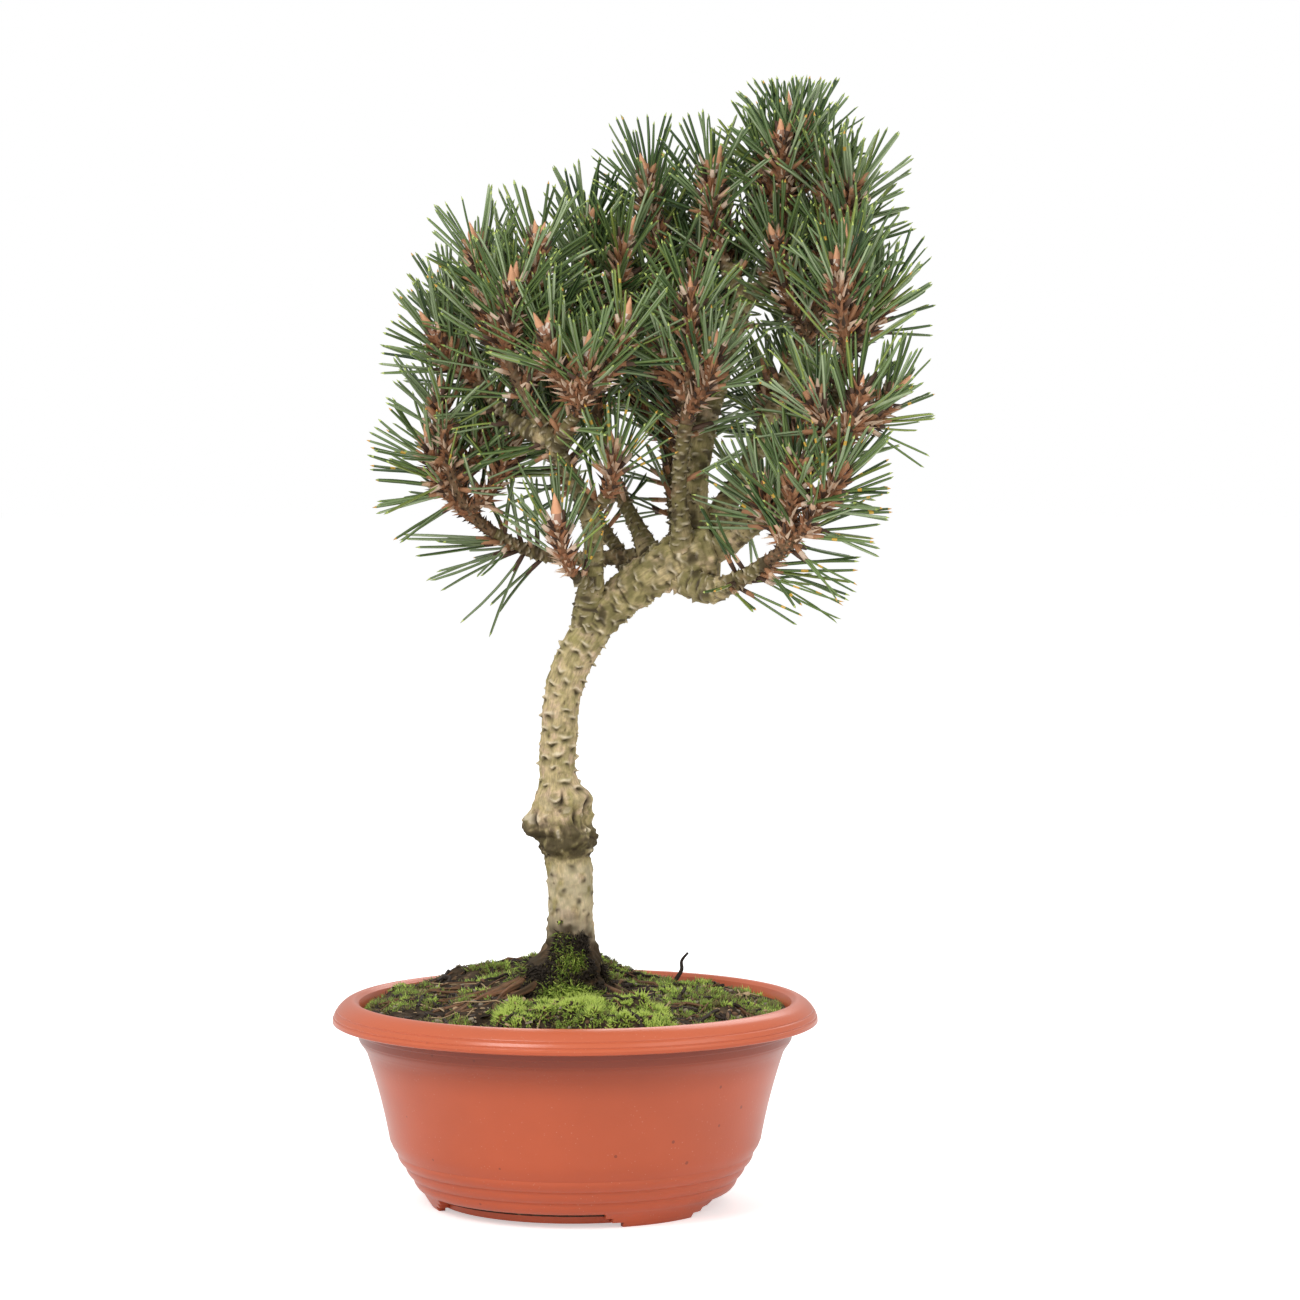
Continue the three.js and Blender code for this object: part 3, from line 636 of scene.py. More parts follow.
def calculated(tree, operation, first, second):
    node = add_node(tree, "ShaderNodeMath", {"operation": operation})
    put(tree, node.inputs[0], first)
    put(tree, node.inputs[1], second)
    return node.outputs[0]


def times(tree, first, second):
    return calculated(tree, "MULTIPLY", first, second)


def ranged(tree, value, kind="LINEAR", **ends):
    """A value carried over from one range to another."""
    node = add_node(tree, "ShaderNodeMapRange", {"interpolation_type": kind}, Value=value, **ends)
    return node.outputs[0]


def clouds(tree, place, scale, detail, roughness=0.5):
    return add_node(
        tree, "ShaderNodeTexNoise", Vector=place, Scale=scale, Detail=detail, Roughness=roughness,
    ).outputs[0]


def new_group(name, **defaults):
    """An empty shader group that takes a place and named values: its tree and its input sockets."""
    tree = bpy.data.node_groups.new(name, "ShaderNodeTree")
    tree.interface.new_socket("Vector", in_out="INPUT", socket_type="NodeSocketVector")
    for label, default in defaults.items():
        socket = tree.interface.new_socket(label, in_out="INPUT", socket_type="NodeSocketFloat")
        socket.default_value = default
    return tree, tree.nodes.new("NodeGroupInput").outputs


def finished_group(tree, label, value):
    """The group with its one output, under its name."""
    tree.interface.new_socket(label, in_out="OUTPUT", socket_type="NodeSocketFloat")
    tree.links.new(value, tree.nodes.new("NodeGroupOutput").inputs[label])
    return tree


def mottle_group():
    """Soft patches: a mask that rises where noise passes from a low to a high value."""
    tree, given = new_group("Mottle", Scale=100.0, Low=0.4, High=0.6)
    cloud = clouds(tree, given["Vector"], given["Scale"], 4.0, 0.6)
    mask = ranged(tree, cloud, "SMOOTHSTEP", From_Min=given["Low"], From_Max=given["High"])
    return finished_group(tree, "Mask", mask)


def grain_group():
    """Fibres that run along the limb: fine noise drawn out along the unrolled surface."""
    tree, given = new_group("Grain", Scale=900.0, Stretch=0.1)
    drawn = add_node(tree, "ShaderNodeCombineXYZ", X=1.0, Y=1.0, Z=given["Stretch"])
    place = add_node(tree, "ShaderNodeVectorMath", {"operation": "MULTIPLY"})
    put(tree, place.inputs[0], given["Vector"])
    put(tree, place.inputs[1], drawn.outputs[0])
    return finished_group(tree, "Height", clouds(tree, place.outputs[0], given["Scale"], 5.0, 0.65))


def speck_group():
    """Small separate specks: a mask that is one near the middle of some cells."""
    tree, given = new_group("Specks", Scale=300.0, Size=0.12)
    cells = add_node(tree, "ShaderNodeTexVoronoi", Vector=given["Vector"], Scale=given["Scale"])
    patches = clouds(tree, given["Vector"], times(tree, given["Scale"], 0.15), 2.0)
    size = times(tree, given["Size"], patches)
    mask = calculated(tree, "LESS_THAN", cells.outputs["Distance"], size)
    return finished_group(tree, "Mask", mask)


GROUP_MAKERS = {"Mottle": mottle_group, "Grain": grain_group, "Specks": speck_group}
GROUPS = {}


def place_group(tree, name, **inputs):
    """A shared effect placed in a material. Each is built once."""
    if name not in GROUPS:
        GROUPS[name] = GROUP_MAKERS[name]()
    return add_node(tree, "ShaderNodeGroup", {"node_tree": GROUPS[name]}, **inputs).outputs[0]


def new_material(name, colour, roughness, specular=0.5):
    """A material with one base colour, and its node tree and shader for further work."""
    material = bpy.data.materials.new(name)
    material.use_nodes = True
    tree = material.node_tree
    shader = tree.nodes["Principled BSDF"]
    put(tree, shader.inputs["Base Color"], colour)
    put(tree, shader.inputs["Roughness"], roughness)
    put(tree, shader.inputs["Specular IOR Level"], specular)
    material.diffuse_color = (*colour[:3], 1)
    return material, tree, shader


def plain_materials(colours, roughness, specular=0.5):
    """A material of one plain colour for each name and colour."""
    return [new_material(name, colour, roughness, specular)[0] for name, colour in colours]


def set_bump(tree, shader, height, depth, strength):
    """Fine relief from a height socket, its depth in millimetres."""
    relief = add_node(tree, "ShaderNodeBump", Height=height, Distance=depth * MM, Strength=strength)
    put(tree, shader.inputs["Normal"], relief.outputs[0])


def bark_material(name, colours):
    """Bark: tan and olive patches, running grain, dark spots and stains, and painted light: highlights on
    the scars' lips and knobs, and shade in pits, grooves, cracks and wrinkles.
    """
    material, tree, shader = new_material(name, colours.bark, 0.85, 0.25)
    place = add_node(tree, "ShaderNodeTexCoord").outputs["Object"]
    unrolled = add_node(tree, "ShaderNodeAttribute", {"attribute_name": "unrolled"}).outputs["Vector"]
    mask = {
        label: add_node(tree, "ShaderNodeAttribute", {"attribute_name": label}).outputs["Fac"]
        for label in MASKS
    }
    fibre = place_group(tree, "Grain", Vector=unrolled, Scale=750.0, Stretch=0.28)
    coarse = place_group(tree, "Grain", Vector=unrolled, Scale=260.0, Stretch=0.3)
    patches = place_group(tree, "Mottle", Vector=place, Scale=60.0, Low=0.42, High=0.62)
    blush = place_group(tree, "Mottle", Vector=unrolled, Scale=130.0, Low=0.5, High=0.64)
    algae = place_group(tree, "Mottle", Vector=place, Scale=190.0, Low=0.5, High=0.66)
    colour = layered(tree, colours.bark, (
        (times(tree, patches, 0.6), colours.bark_olive),
        (times(tree, blush, 0.65), colours.bark_blush),
        (times(tree, algae, 0.55), colours.bark_olive),
        (ranged(tree, mask["age"], From_Max=0.5), mixed(tree, coarse, colours.wood_dark, colours.wood)),
        (ranged(tree, mask["age"], From_Min=0.5), mixed(tree, coarse, colours.shoot_dark, colours.shoot)),
    ))
    lines = ranged(tree, fibre, From_Min=0.35, From_Max=0.62, To_Min=0.62, To_Max=1.12)
    shade = add_node(tree, "ShaderNodeCombineColor", Red=lines, Green=lines, Blue=lines).outputs[0]
    colour = mixed(tree, 1.0, colour, shade, "MULTIPLY")
    # Painted light: the lip mask lays a pale highlight colour, and the stain and pit masks lay painted shade
    # as well as real stains and dark spots.
    colour = layered(tree, colour, (
        (times(tree, mask["stain_and_shade"], 0.75), colours.stain_and_shade),
        (times(tree, mask["lip"], 0.8), colours.pale_bark_and_highlight),
        (mask["dark_and_shade"], colours.pit_and_shade_colour),
    ))
    put(tree, shader.inputs["Base Color"], colour)
    set_bump(tree, shader, fibre, 0.45, 0.8)
    return material


# The bowl's marks: specks of dust, scuffs, painted shade on the flared neck under the lip and painted light
# on the lip, and the heights in metres between which the painted shade lies and at which the lip starts.
DUST = (0.62, 0.3, 0.2)
SCUFF = (0.12, 0.03, 0.02)
PAINTED_NECK_SHADE = (0.16, 0.022, 0.009)
PAINTED_LIP_LIGHT = (0.78, 0.22, 0.11)
LIP_LIGHT_SHARE = 0.27
NECK_SHADE_FOOT = 0.058
NECK_SHADE_TOP = 0.0835
LIP_START = 0.0845


def bowl_material(colours):
    """Moulded plastic: an even colour with faint clouds, pale specks, scuffs, painted shade under the lip,
    painted light on the lip and a soft gloss.
    """
    material, tree, shader = new_material("bowl_plastic", colours.bowl, 0.28, 0.45)
    place = add_node(tree, "ShaderNodeTexCoord").outputs["Object"]
    cloudy = place_group(tree, "Mottle", Vector=place, Scale=14.0, Low=0.3, High=0.75)
    dust = place_group(tree, "Specks", Vector=place, Scale=420.0, Size=0.2)
    scuffs = place_group(tree, "Specks", Vector=place, Scale=70.0, Size=0.09)
    x, y, height = add_node(tree, "ShaderNodeSeparateXYZ", Vector=place).outputs
    # Painted shade: the neck under the overhanging lip is darkened between these heights, inside the rim's
    # reach.
    rising = ranged(tree, height, "SMOOTHSTEP", From_Min=NECK_SHADE_FOOT, From_Max=NECK_SHADE_TOP)
    below = calculated(tree, "LESS_THAN", height, LIP_START)
    square = calculated(tree, "ADD", times(tree, x, x), times(tree, y, y))
    radius = calculated(tree, "POWER", square, 0.5)
    inner = calculated(tree, "LESS_THAN", radius, (RIM_RADIUS - 3) * MM)
    neck_shade = times(tree, times(tree, rising, below), inner)
    # Painted light: above the lip's start the colour is mixed towards a lighter red, as if lit.
    lip = calculated(tree, "SUBTRACT", LIP_LIGHT_SHARE, times(tree, below, LIP_LIGHT_SHARE))
    colour = layered(tree, colours.bowl, (
        (cloudy, tuple(0.9 * part for part in colours.bowl)), (times(tree, dust, 0.35), DUST),
        (times(tree, scuffs, 0.55), SCUFF), (times(tree, neck_shade, 0.75), PAINTED_NECK_SHADE), (lip, PAINTED_LIP_LIGHT),
    ))
    put(tree, shader.inputs["Base Color"], colour)
    set_bump(tree, shader, clouds(tree, place, 900.0, 2.0), 0.04, 0.6)
    return material


SOIL_BITS = (0.2, 0.12, 0.06)


def soil_material(colours):
    """Dark peaty soil: crumbs of several browns, with fibres and damp hollows."""
    material, tree, shader = new_material("soil_peat", colours.soil, 0.95, 0.2)
    place = add_node(tree, "ShaderNodeTexCoord").outputs["Object"]
    crumbs = add_node(tree, "ShaderNodeTexVoronoi", Vector=place, Scale=420.0).outputs
    tone = add_node(tree, "ShaderNodeSeparateColor", Color=crumbs["Color"]).outputs[0]
    damp = place_group(tree, "Mottle", Vector=place, Scale=70.0, Low=0.4, High=0.6)
    bits = place_group(tree, "Specks", Vector=place, Scale=230.0, Size=0.5)
    colour = layered(tree, colours.soil, (
        (tone, colours.soil_light), (damp, colours.soil), (times(tree, bits, 0.6), SOIL_BITS),
    ))
    put(tree, shader.inputs["Base Color"], colour)
    set_bump(tree, shader, crumbs["Distance"], 1.2, 0.9)
    return material


# Settings that a user would change

def colour_prop(name, description, default):
    return FloatVectorProperty(
        name=name, description=description, default=default, size=3, min=0, max=1, subtype="COLOR",
    )


class PineColours(bpy.types.PropertyGroup):
    bowl: colour_prop("Bowl", "Colour of the moulded plastic", (0.53, 0.1, 0.036))
    soil: colour_prop("Soil", "Colour of damp soil", (0.03, 0.02, 0.012))
    soil_light: colour_prop("Dry soil", "Colour of dry crumbs", (0.09, 0.06, 0.035))
    bark: colour_prop("Bark", "Main colour of old bark", (0.56, 0.44, 0.235))
    bark_olive: colour_prop("Bark olive", "Colour of bark with a film of algae", (0.28, 0.25, 0.08))
    bark_blush: colour_prop("Bark blush", "Colour of bark where it peels", (0.68, 0.49, 0.34))
    # Olive of real streaks, also used as painted shadow below scars and between knobs.
    stain_and_shade: colour_prop("Stain", "Colour of the streak below a scar", (0.16, 0.14, 0.05))
    # Pale bark, also used as a painted highlight on the scars' lips and the hub's knobs.
    pale_bark_and_highlight: colour_prop("Scar lip", "Colour of the raised edge of a scar", (0.83, 0.72, 0.52))
    # Near black of dark spots and earth, also used as painted shade in pits, grooves, cracks and wrinkles.
    pit_and_shade_colour: colour_prop("Scar pit", "Colour of the hollow of a scar", (0.05, 0.035, 0.018))
    wood: colour_prop("Thin wood", "Colour of bark on thin boughs", (0.22, 0.13, 0.065))
    wood_dark: colour_prop("Thin wood dark", "Shade of bark on thin boughs", (0.1, 0.055, 0.03))
    shoot: colour_prop("Shoot", "Colour of young bark", (0.42, 0.19, 0.09))
    shoot_dark: colour_prop("Shoot dark", "Shade of young bark", (0.1, 0.042, 0.022))


def size_prop(name, description, default, low, high):
    return FloatProperty(
        name=name, description=description, default=default, min=low, max=high, unit="LENGTH",
    )


class PineSizes(bpy.types.PropertyGroup):
    needle_length: size_prop("Needle length", "Mean length of a needle", NEEDLE_LENGTH * MM, 0.02, 0.05)
    needle_width: size_prop("Needle width", "Width of a needle at its middle", 0.00138, 0.0005, 0.003)
    needle_rise: size_prop(
        "Needle rise", "Distance along a shoot from one pair to the next", 0.00069, 0.0004, 0.003,
    )
    scar_height: size_prop(
        "Scar height", "How far a scar's lip stands out of old bark", 0.00125, 0, 0.003,
    )
    moss_spikes: IntProperty(
        name="Moss spikes", description="How many leaves the moss has", default=33000, min=0, max=60000,
    )


# Bowl and soil

def wall_radius(height):
    """The wall leans out to the shoulder, curves to the neck and flares to an upright collar."""
    if height < SHOULDER_HEIGHT:
        return mix(FOOT_RADIUS, SHOULDER_RADIUS, height / SHOULDER_HEIGHT)
    if height > NECK_HEIGHT:
        flare = (height - NECK_HEIGHT) / (COLLAR_HEIGHT - NECK_HEIGHT)
        return mix(NECK_RADIUS, COLLAR_RADIUS, min(flare, 1))
    share = (height - SHOULDER_HEIGHT) / (NECK_HEIGHT - SHOULDER_HEIGHT)
    return mix(SHOULDER_RADIUS, NECK_RADIUS, (2 * share + share * share) / 3)


SOIL_REACH = COLLAR_RADIUS - WALL - GAP


def soil_height(radius):
    share = (np.asarray(radius) - SOIL_PAD_RADIUS) / (SOIL_REACH - SOIL_PAD_RADIUS)
    return SOIL_TOP - (SOIL_TOP - SOIL_EDGE) * np.maximum(share, 0) ** 2


TERRACE_STEPS = 7
WALL_STEPS = 16
COLLAR_STEPS = 7
LIP_STEPS = 24
GROOVE_HEIGHTS = (88.5, 85.9)
GROOVE_DEPTH = 0.5
GROOVE_WIDTH = 0.32
STEP_LINES = (75.7, 79)
STEP_DEPTH = 0.35
TERRACE_SEAM = 0.25
BASE_ROUNDING = 0.6

# Heights of the bowl's inner wall, from the lip down to the floor.
INNER_HEIGHTS = (84, COLLAR_HEIGHT, NECK_HEIGHT, 60, 48, 36, SHOULDER_HEIGHT, 18, FLOOR_HEIGHT + 3)


def bowl_profile():
    """Radius and height of the bowl's section, from the middle of its base round to its floor."""
    profile = [(0, BASE_RECESS), (30, BASE_RECESS), (BASE_RADIUS - BASE_ROUNDING, BASE_RECESS)]
    profile += [(BASE_RADIUS, BASE_RECESS + BASE_ROUNDING), (BASE_RADIUS, FOOT_HEIGHT)]
    for terrace in range(TERRACES):
        bottom = FOOT_HEIGHT + terrace * TERRACE_HEIGHT
        for step in range(TERRACE_STEPS + 1):
            share = step / TERRACE_STEPS
            height = bottom + share * (TERRACE_HEIGHT - TERRACE_SEAM)
            bulge = TERRACE_BULGE * math.sin(math.pi * share ** 0.9) ** 0.6 if 0 < share < 1 else 0
            profile.append((wall_radius(height) + bulge, height))
    top_groove = FOOT_HEIGHT + TERRACES * TERRACE_HEIGHT
    for height in np.linspace(top_groove + 0.4, NECK_HEIGHT - 0.6, WALL_STEPS):
        profile.append((wall_radius(height), height))
    for height in np.linspace(NECK_HEIGHT, STEP_LINES[0] - 0.6, COLLAR_STEPS):
        share = (height - NECK_HEIGHT) / (COLLAR_HEIGHT - NECK_HEIGHT)
        profile.append((mix(NECK_RADIUS, COLLAR_RADIUS, smoothstep(share, -0.25, 1.1)), height))
    for order, height in enumerate(STEP_LINES):
        radius = COLLAR_RADIUS - STEP_DEPTH * (1 - order)
        profile += [(radius, height - 0.2), (radius + STEP_DEPTH, height + 0.2)]
    lip = [(RIM_RADIUS - inset, BOWL_HEIGHT - drop) for inset, drop in LIP_SECTION]
    profile += lip[:4]
    for radius, _, height in smooth_line([(r, 0, z) for r, z in lip[4:]], LIP_STEPS):
        groove = sum(GROOVE_DEPTH * bump(height, at, GROOVE_WIDTH) for at in GROOVE_HEIGHTS)
        profile.append((radius - groove, min(height, BOWL_HEIGHT)))
    for height in INNER_HEIGHTS:
        profile.append((wall_radius(height) - WALL, height))
    floor_radius = wall_radius(FLOOR_HEIGHT) - WALL
    profile += [(floor_radius - 2, FLOOR_HEIGHT), (floor_radius / 2, FLOOR_HEIGHT), (0, FLOOR_HEIGHT)]
    return profile


BOWL_STEPS = 240
EDGE_WIDTH = 0.3
EDGE_ANGLE = 40
BOWL_SMOOTHING = 50
FOOT_HALF_ANGLES = [FOOT_HALF_ANGLE + NOTCH_STEP_ANGLE * step for step in (2, 1, 0)]


def foot_offset(x, y):
    """How far a place lies from the middle of the nearest foot, in degrees."""
    pitch = 360 / FEET
    turn = math.degrees(math.atan2(y, x)) - FIRST_FOOT
    return abs((turn + pitch / 2) % pitch - pitch / 2)


def extrude_feet(piece):
    """The three feet, drawn down from the ring under the wall in steps that grow narrower."""
    choose(piece)
    bpy.ops.object.mode_set(mode="EDIT")
    bpy.ops.mesh.select_mode(type="FACE")
    for order, half_angle in enumerate(FOOT_HALF_ANGLES):
        bpy.ops.mesh.select_all(action="DESELECT")
        bpy.ops.object.mode_set(mode="OBJECT")
        bottom = FOOT_HEIGHT * (1 - order / NOTCH_STEPS)
        below = FOOT_HEIGHT * (1 - (order + 1) / NOTCH_STEPS)
        for face in piece.data.polygons:
            x, y, z = face.center / MM
            radius = math.hypot(x, y)
            ring = BASE_RADIUS < radius < wall_radius(FOOT_HEIGHT)
            face.select = ring and abs(z - bottom) < 0.05 and foot_offset(x, y) < half_angle
        bpy.ops.object.mode_set(mode="EDIT")
        bpy.ops.mesh.extrude_region_move(
            TRANSFORM_OT_translate={"value": (0, 0, (below - bottom) * MM)},
        )
        bpy.ops.object.mode_set(mode="OBJECT")
        outer = wall_radius(below)
        for vertex in piece.data.vertices:
            radius = math.hypot(vertex.co.x, vertex.co.y) / MM
            if abs(vertex.co.z / MM - below) < 0.05 and radius > BASE_RADIUS + 2:
                vertex.co.x *= outer / radius
                vertex.co.y *= outer / radius
        bpy.ops.object.mode_set(mode="EDIT")
    bpy.ops.object.mode_set(mode="OBJECT")


def apply_bevel(piece, width, segments, angle):
    bevel = piece.modifiers.new("edges", "BEVEL")
    bevel.width = width * MM
    bevel.segments = segments
    bevel.limit_method = "ANGLE"
    bevel.angle_limit = math.radians(angle)
    choose(piece)
    bpy.ops.object.modifier_apply(modifier=bevel.name)


def smooth_by_angle(piece, degrees):
    choose(piece)
    bpy.ops.object.shade_smooth_by_angle(angle=math.radians(degrees))


SOIL_STEPS = 280
SOIL_RING_STEP = 1.3
SOIL_SMOOTHING = 70


def soil_profile():
    """Radius and height of the soil's section: underside, wall, and a surface with close rings."""
    bottom = FLOOR_HEIGHT + GAP
    profile = [(0, bottom)]
    for height in (bottom, SHOULDER_HEIGHT, 62, NECK_HEIGHT, COLLAR_HEIGHT):
        profile.append((wall_radius(height) - WALL - GAP, height))
    rings = round(SOIL_REACH / SOIL_RING_STEP)
    for radius in np.linspace(SOIL_REACH, 0, rings):
        profile.append((radius, float(soil_height(radius))))
    return profile


# The moss cushion in front of the trunk: its middle, its half width and its half depth.
CUSHION = (2, -66, 46, 19)
CUSHION_HEIGHT = 6.5

# The mossy ridge behind the trunk, which stands above the rim: the same.
RIDGE = (-22, 66, 66, 15)
RIDGE_HEIGHT = 7.5


def level(x, y):
    return np.stack([x, y, np.zeros_like(x)], -1)


def cushion_share(x, y):
    middle_x, middle_y, half_width, half_depth = CUSHION
    away = ((x - middle_x) / half_width) ** 2 + ((y - middle_y) / half_depth) ** 2
    place = level(x, y)
    return np.clip(1 - away + 0.55 * noise(place, 13, 6) + 0.25 * noise(place, 5, 7), 0, 1)


def ground_rise(x, y):
    """How far the ground's surface stands above the plain mound: lumps, crumbs and the cushion."""
    place = level(x, y)
    edge = smoothstep(np.hypot(x, y), SOIL_REACH, SOIL_REACH - 10)
    lumps = 1.9 * noise(place, 17, 3) + 1.9 * noise(place, 8, 4) + 0.9 * noise(place, 3, 5)
    tilt = 1.8 * (np.asarray(y) - 1.4 * np.asarray(x)) / SOIL_REACH
    middle_x, middle_y, half_width, half_depth = RIDGE
    ridge = bump(x, middle_x, half_width) * bump(y, middle_y, half_depth) * (1 + 0.5 * noise(place, 12, 8))
    cushion = np.sqrt(cushion_share(x, y)) * (1 + 0.3 * noise(place, 6, 9))
    return edge * (lumps + tilt - 0.4 + RIDGE_HEIGHT * ridge + CUSHION_HEIGHT * cushion)


def ground_height(x, y):
    return soil_height(np.hypot(x, y)) + ground_rise(x, y)


def raise_ground(mesh):
    """Lifts the soil's upper surface from the plain mound to the lumpy ground."""
    co = np.zeros(len(mesh.vertices) * 3, np.float32)
    mesh.vertices.foreach_get("co", co)
    places = co.reshape(-1, 3).astype(float) / MM
    top = places[:, 2] > SOIL_EDGE - 0.5
    places[top, 2] += ground_rise(places[top, 0], places[top, 1])
    mesh.vertices.foreach_set("co", (places * MM).astype(np.float32).ravel())


# Trunk and boughs

TRUNK_SIDES = 124
TRUNK_RING = 0.56

# The scars of the trunk climb from one run to another, by an even rise.
SCAR_RISE = 0.97
FIRST_SCAR = 96
LAST_SCAR = 262

# The graft's ledge above the floor, and bands round it: distance above the ledge, width and depth.
LEDGE_Z = 158.5
BANDS = ((9, 1.3, 1.1), (4.5, 1.0, 0.9), (0.2, 0.8, 0.8))

# Bulges and hollows of the graft: height above the floor, width and size, all round, left and right.
GRAFT_ROUND = ((181, 8, 1.3), (162, 5, -3.4))
GRAFT_LEFT = ((173, 5.5, 4.6), (167, 3.5, -2.4))
GRAFT_RIGHT = ((185, 5, 4.4), (173, 7, -3.4), (163, 4.5, 2.4))

# Cracks down the graft: angle, the height of the middle and half the length.
CRACKS = (
    (-52, 175, 5), (6, 185, 3.5), (30, 176, 4), (66, 182, 4), (-84, 170, 5), (150, 176, 6),
    (-140, 180, 5), (96, 172, 4),
)

# How far up the trunk the bark starts to fold, and dark spots on the stock: angle and run.
FORK_RUN = 176
STOCK_SPOTS = [(137.5 * order, 38 + 1.25 * order) for order in range(24)]


def shape_trunk(scar_height):
    """The trunk's skin: root flare, stock, cracked graft, scarred scion and knobbly hub."""
    skin = Skin(TRUNK_LINE, trunk_radius, TRUNK_SIDES, TRUNK_RING)
    place = skin.line[:, None] + skin.outward * skin.radius[:, None, None]
    run = skin.run[:, None]
    drawn = skin.unrolled() * (1, 1, 0.3)
    skin.relief += 0.6 * noise(place, 12, 11) + 0.35 * noise(place, 4.5, 12)
    skin.relief += 0.34 * noise(place, 1.9, 13) + 0.12 * noise(drawn, 0.9, 14)
    flare = np.exp(-run / 12)
    skin.relief += flare * (2.2 * noise(drawn, 7, 15) + 0.8 * noise(place, 3, 16))
    blotches = noise(place, 6, 27) + 0.7 * noise(place, 1.6, 28)
    skin.mark("stain_and_shade", 0.85 * smoothstep(blotches, 0.1, 0.9))
    skin.mark("dark_and_shade", 0.7 * smoothstep(noise(place, 2.4, 36) + 0.4 * noise(drawn, 1.1, 37), 0.75, 1.0))
    shape_graft(skin, place, drawn)
    shape_foot(skin, place)
    for angle, height in STOCK_SPOTS:
        turn = (np.degrees(skin.angle)[None] - angle + 180) % 360 - 180
        spot = bump(turn * 0.17 + 1.2 * skin.sway[1], 0, 1.3)
        spot = spot * bump(run - height + 1.2 * skin.sway[0], 0, 1.1)
        skin.relief += 0.7 * spot
        skin.mark("dark_and_shade", 0.9 * spot)
    height = place[..., 2]
    stock = smoothstep(-height, -158, -152) * smoothstep(height, 114, 124)
    skin.mark("lip", 0.42 * stock * smoothstep(noise(place, 3, 42), -0.7, 0.1))
    folded = smoothstep(skin.run, FORK_RUN - 8, FORK_RUN + 6)
    for order in range(math.floor((LAST_SCAR - FIRST_SCAR) / SCAR_RISE)):
        at = FIRST_SCAR + order * SCAR_RISE
        wave, drift, size = (noise_at((order * 3.7, 0, 0), 1.0, 17 + k) for k in (0, 1, 2))
        proud = scar_height * (1 + 0.7 * wave) * (1 - 0.5 * np.interp(at, skin.run, folded))
        skin.scar(at + 1.6 * drift, order * GOLDEN + 0.16 * wave, 1 + 0.28 * size, proud, wave)
    shape_hub(skin, place, folded[:, None])
    return skin


def foot_swell(height, angle):
    """The mass of earth and fibres at the left of the trunk's foot."""
    return 11 * np.cos(angle + math.radians(70)).clip(0) ** 2 * smoothstep(-height, -119, -102)


def shape_foot(skin, place):
    """The foot, under the climbing moss: dark brown earth and fibres, swollen at its left."""
    height = place[..., 2]
    front = 0.5 + 0.5 * np.cos(skin.angle + math.radians(15))[None]
    foot = smoothstep(-height - 7 * noise(place, 9, 38) + 20 * front, -122, -104)
    skin.relief += foot_swell(height, skin.angle[None]) * (1 + 0.3 * noise(place, 5, 43))
    skin.relief += foot * (0.8 * noise(place, 2.6, 45) + 0.5 * noise(skin.unrolled() * (1, 1, 0.3), 1.6, 46))
    skin.masks["age"][:] = 0.5 * foot
    skin.mark("dark_and_shade", foot * 0.85 * smoothstep(noise(place, 3, 39), -0.7, 0.2))
    crumbs = noise(place, 3, 47) + 0.6 * noise(skin.unrolled() * (1, 1, 0.35), 1.5, 48)
    earthy = smoothstep(-height - 6 * noise(place, 6, 49), -121, -112)
    skin.mark("dark_and_shade", 0.95 * earthy * smoothstep(crumbs, -0.5, 0.1))
    skin.relief += 1.6 * earthy * crumbs


def shape_hub(skin, place, folded):
    """Above the fork the bark folds into close wrinkles round the limb, and the hub is knobbly, with painted
    shade in the troughs and a painted highlight on the knobs.
    """
    warp = 3.2 * noise(place, 8, 18)[..., None] * (0, 0, 1)
    around = (skin.unrolled() + warp) * (0.22, 0.22, 1)
    wrinkle = 1 - 3 * np.abs(noise(around, 2.2, 19))
    knobs = noise(place, 6.5, 20) + 0.8 * noise(place, 2.8, 29)
    skin.relief += folded * (0.5 * wrinkle + 0.8 * knobs)
    # Painted shade in the wrinkles' troughs and between the knobs, and a painted highlight on the knobs'
    # tops.
    skin.mark("dark_and_shade", folded * 0.8 * smoothstep(-wrinkle, 0.3, 1.2))
    skin.mark("stain_and_shade", folded * smoothstep(-knobs, -0.2, 0.5))
    skin.mark("lip", folded * 0.5 * smoothstep(knobs, 0.45, 1.0))


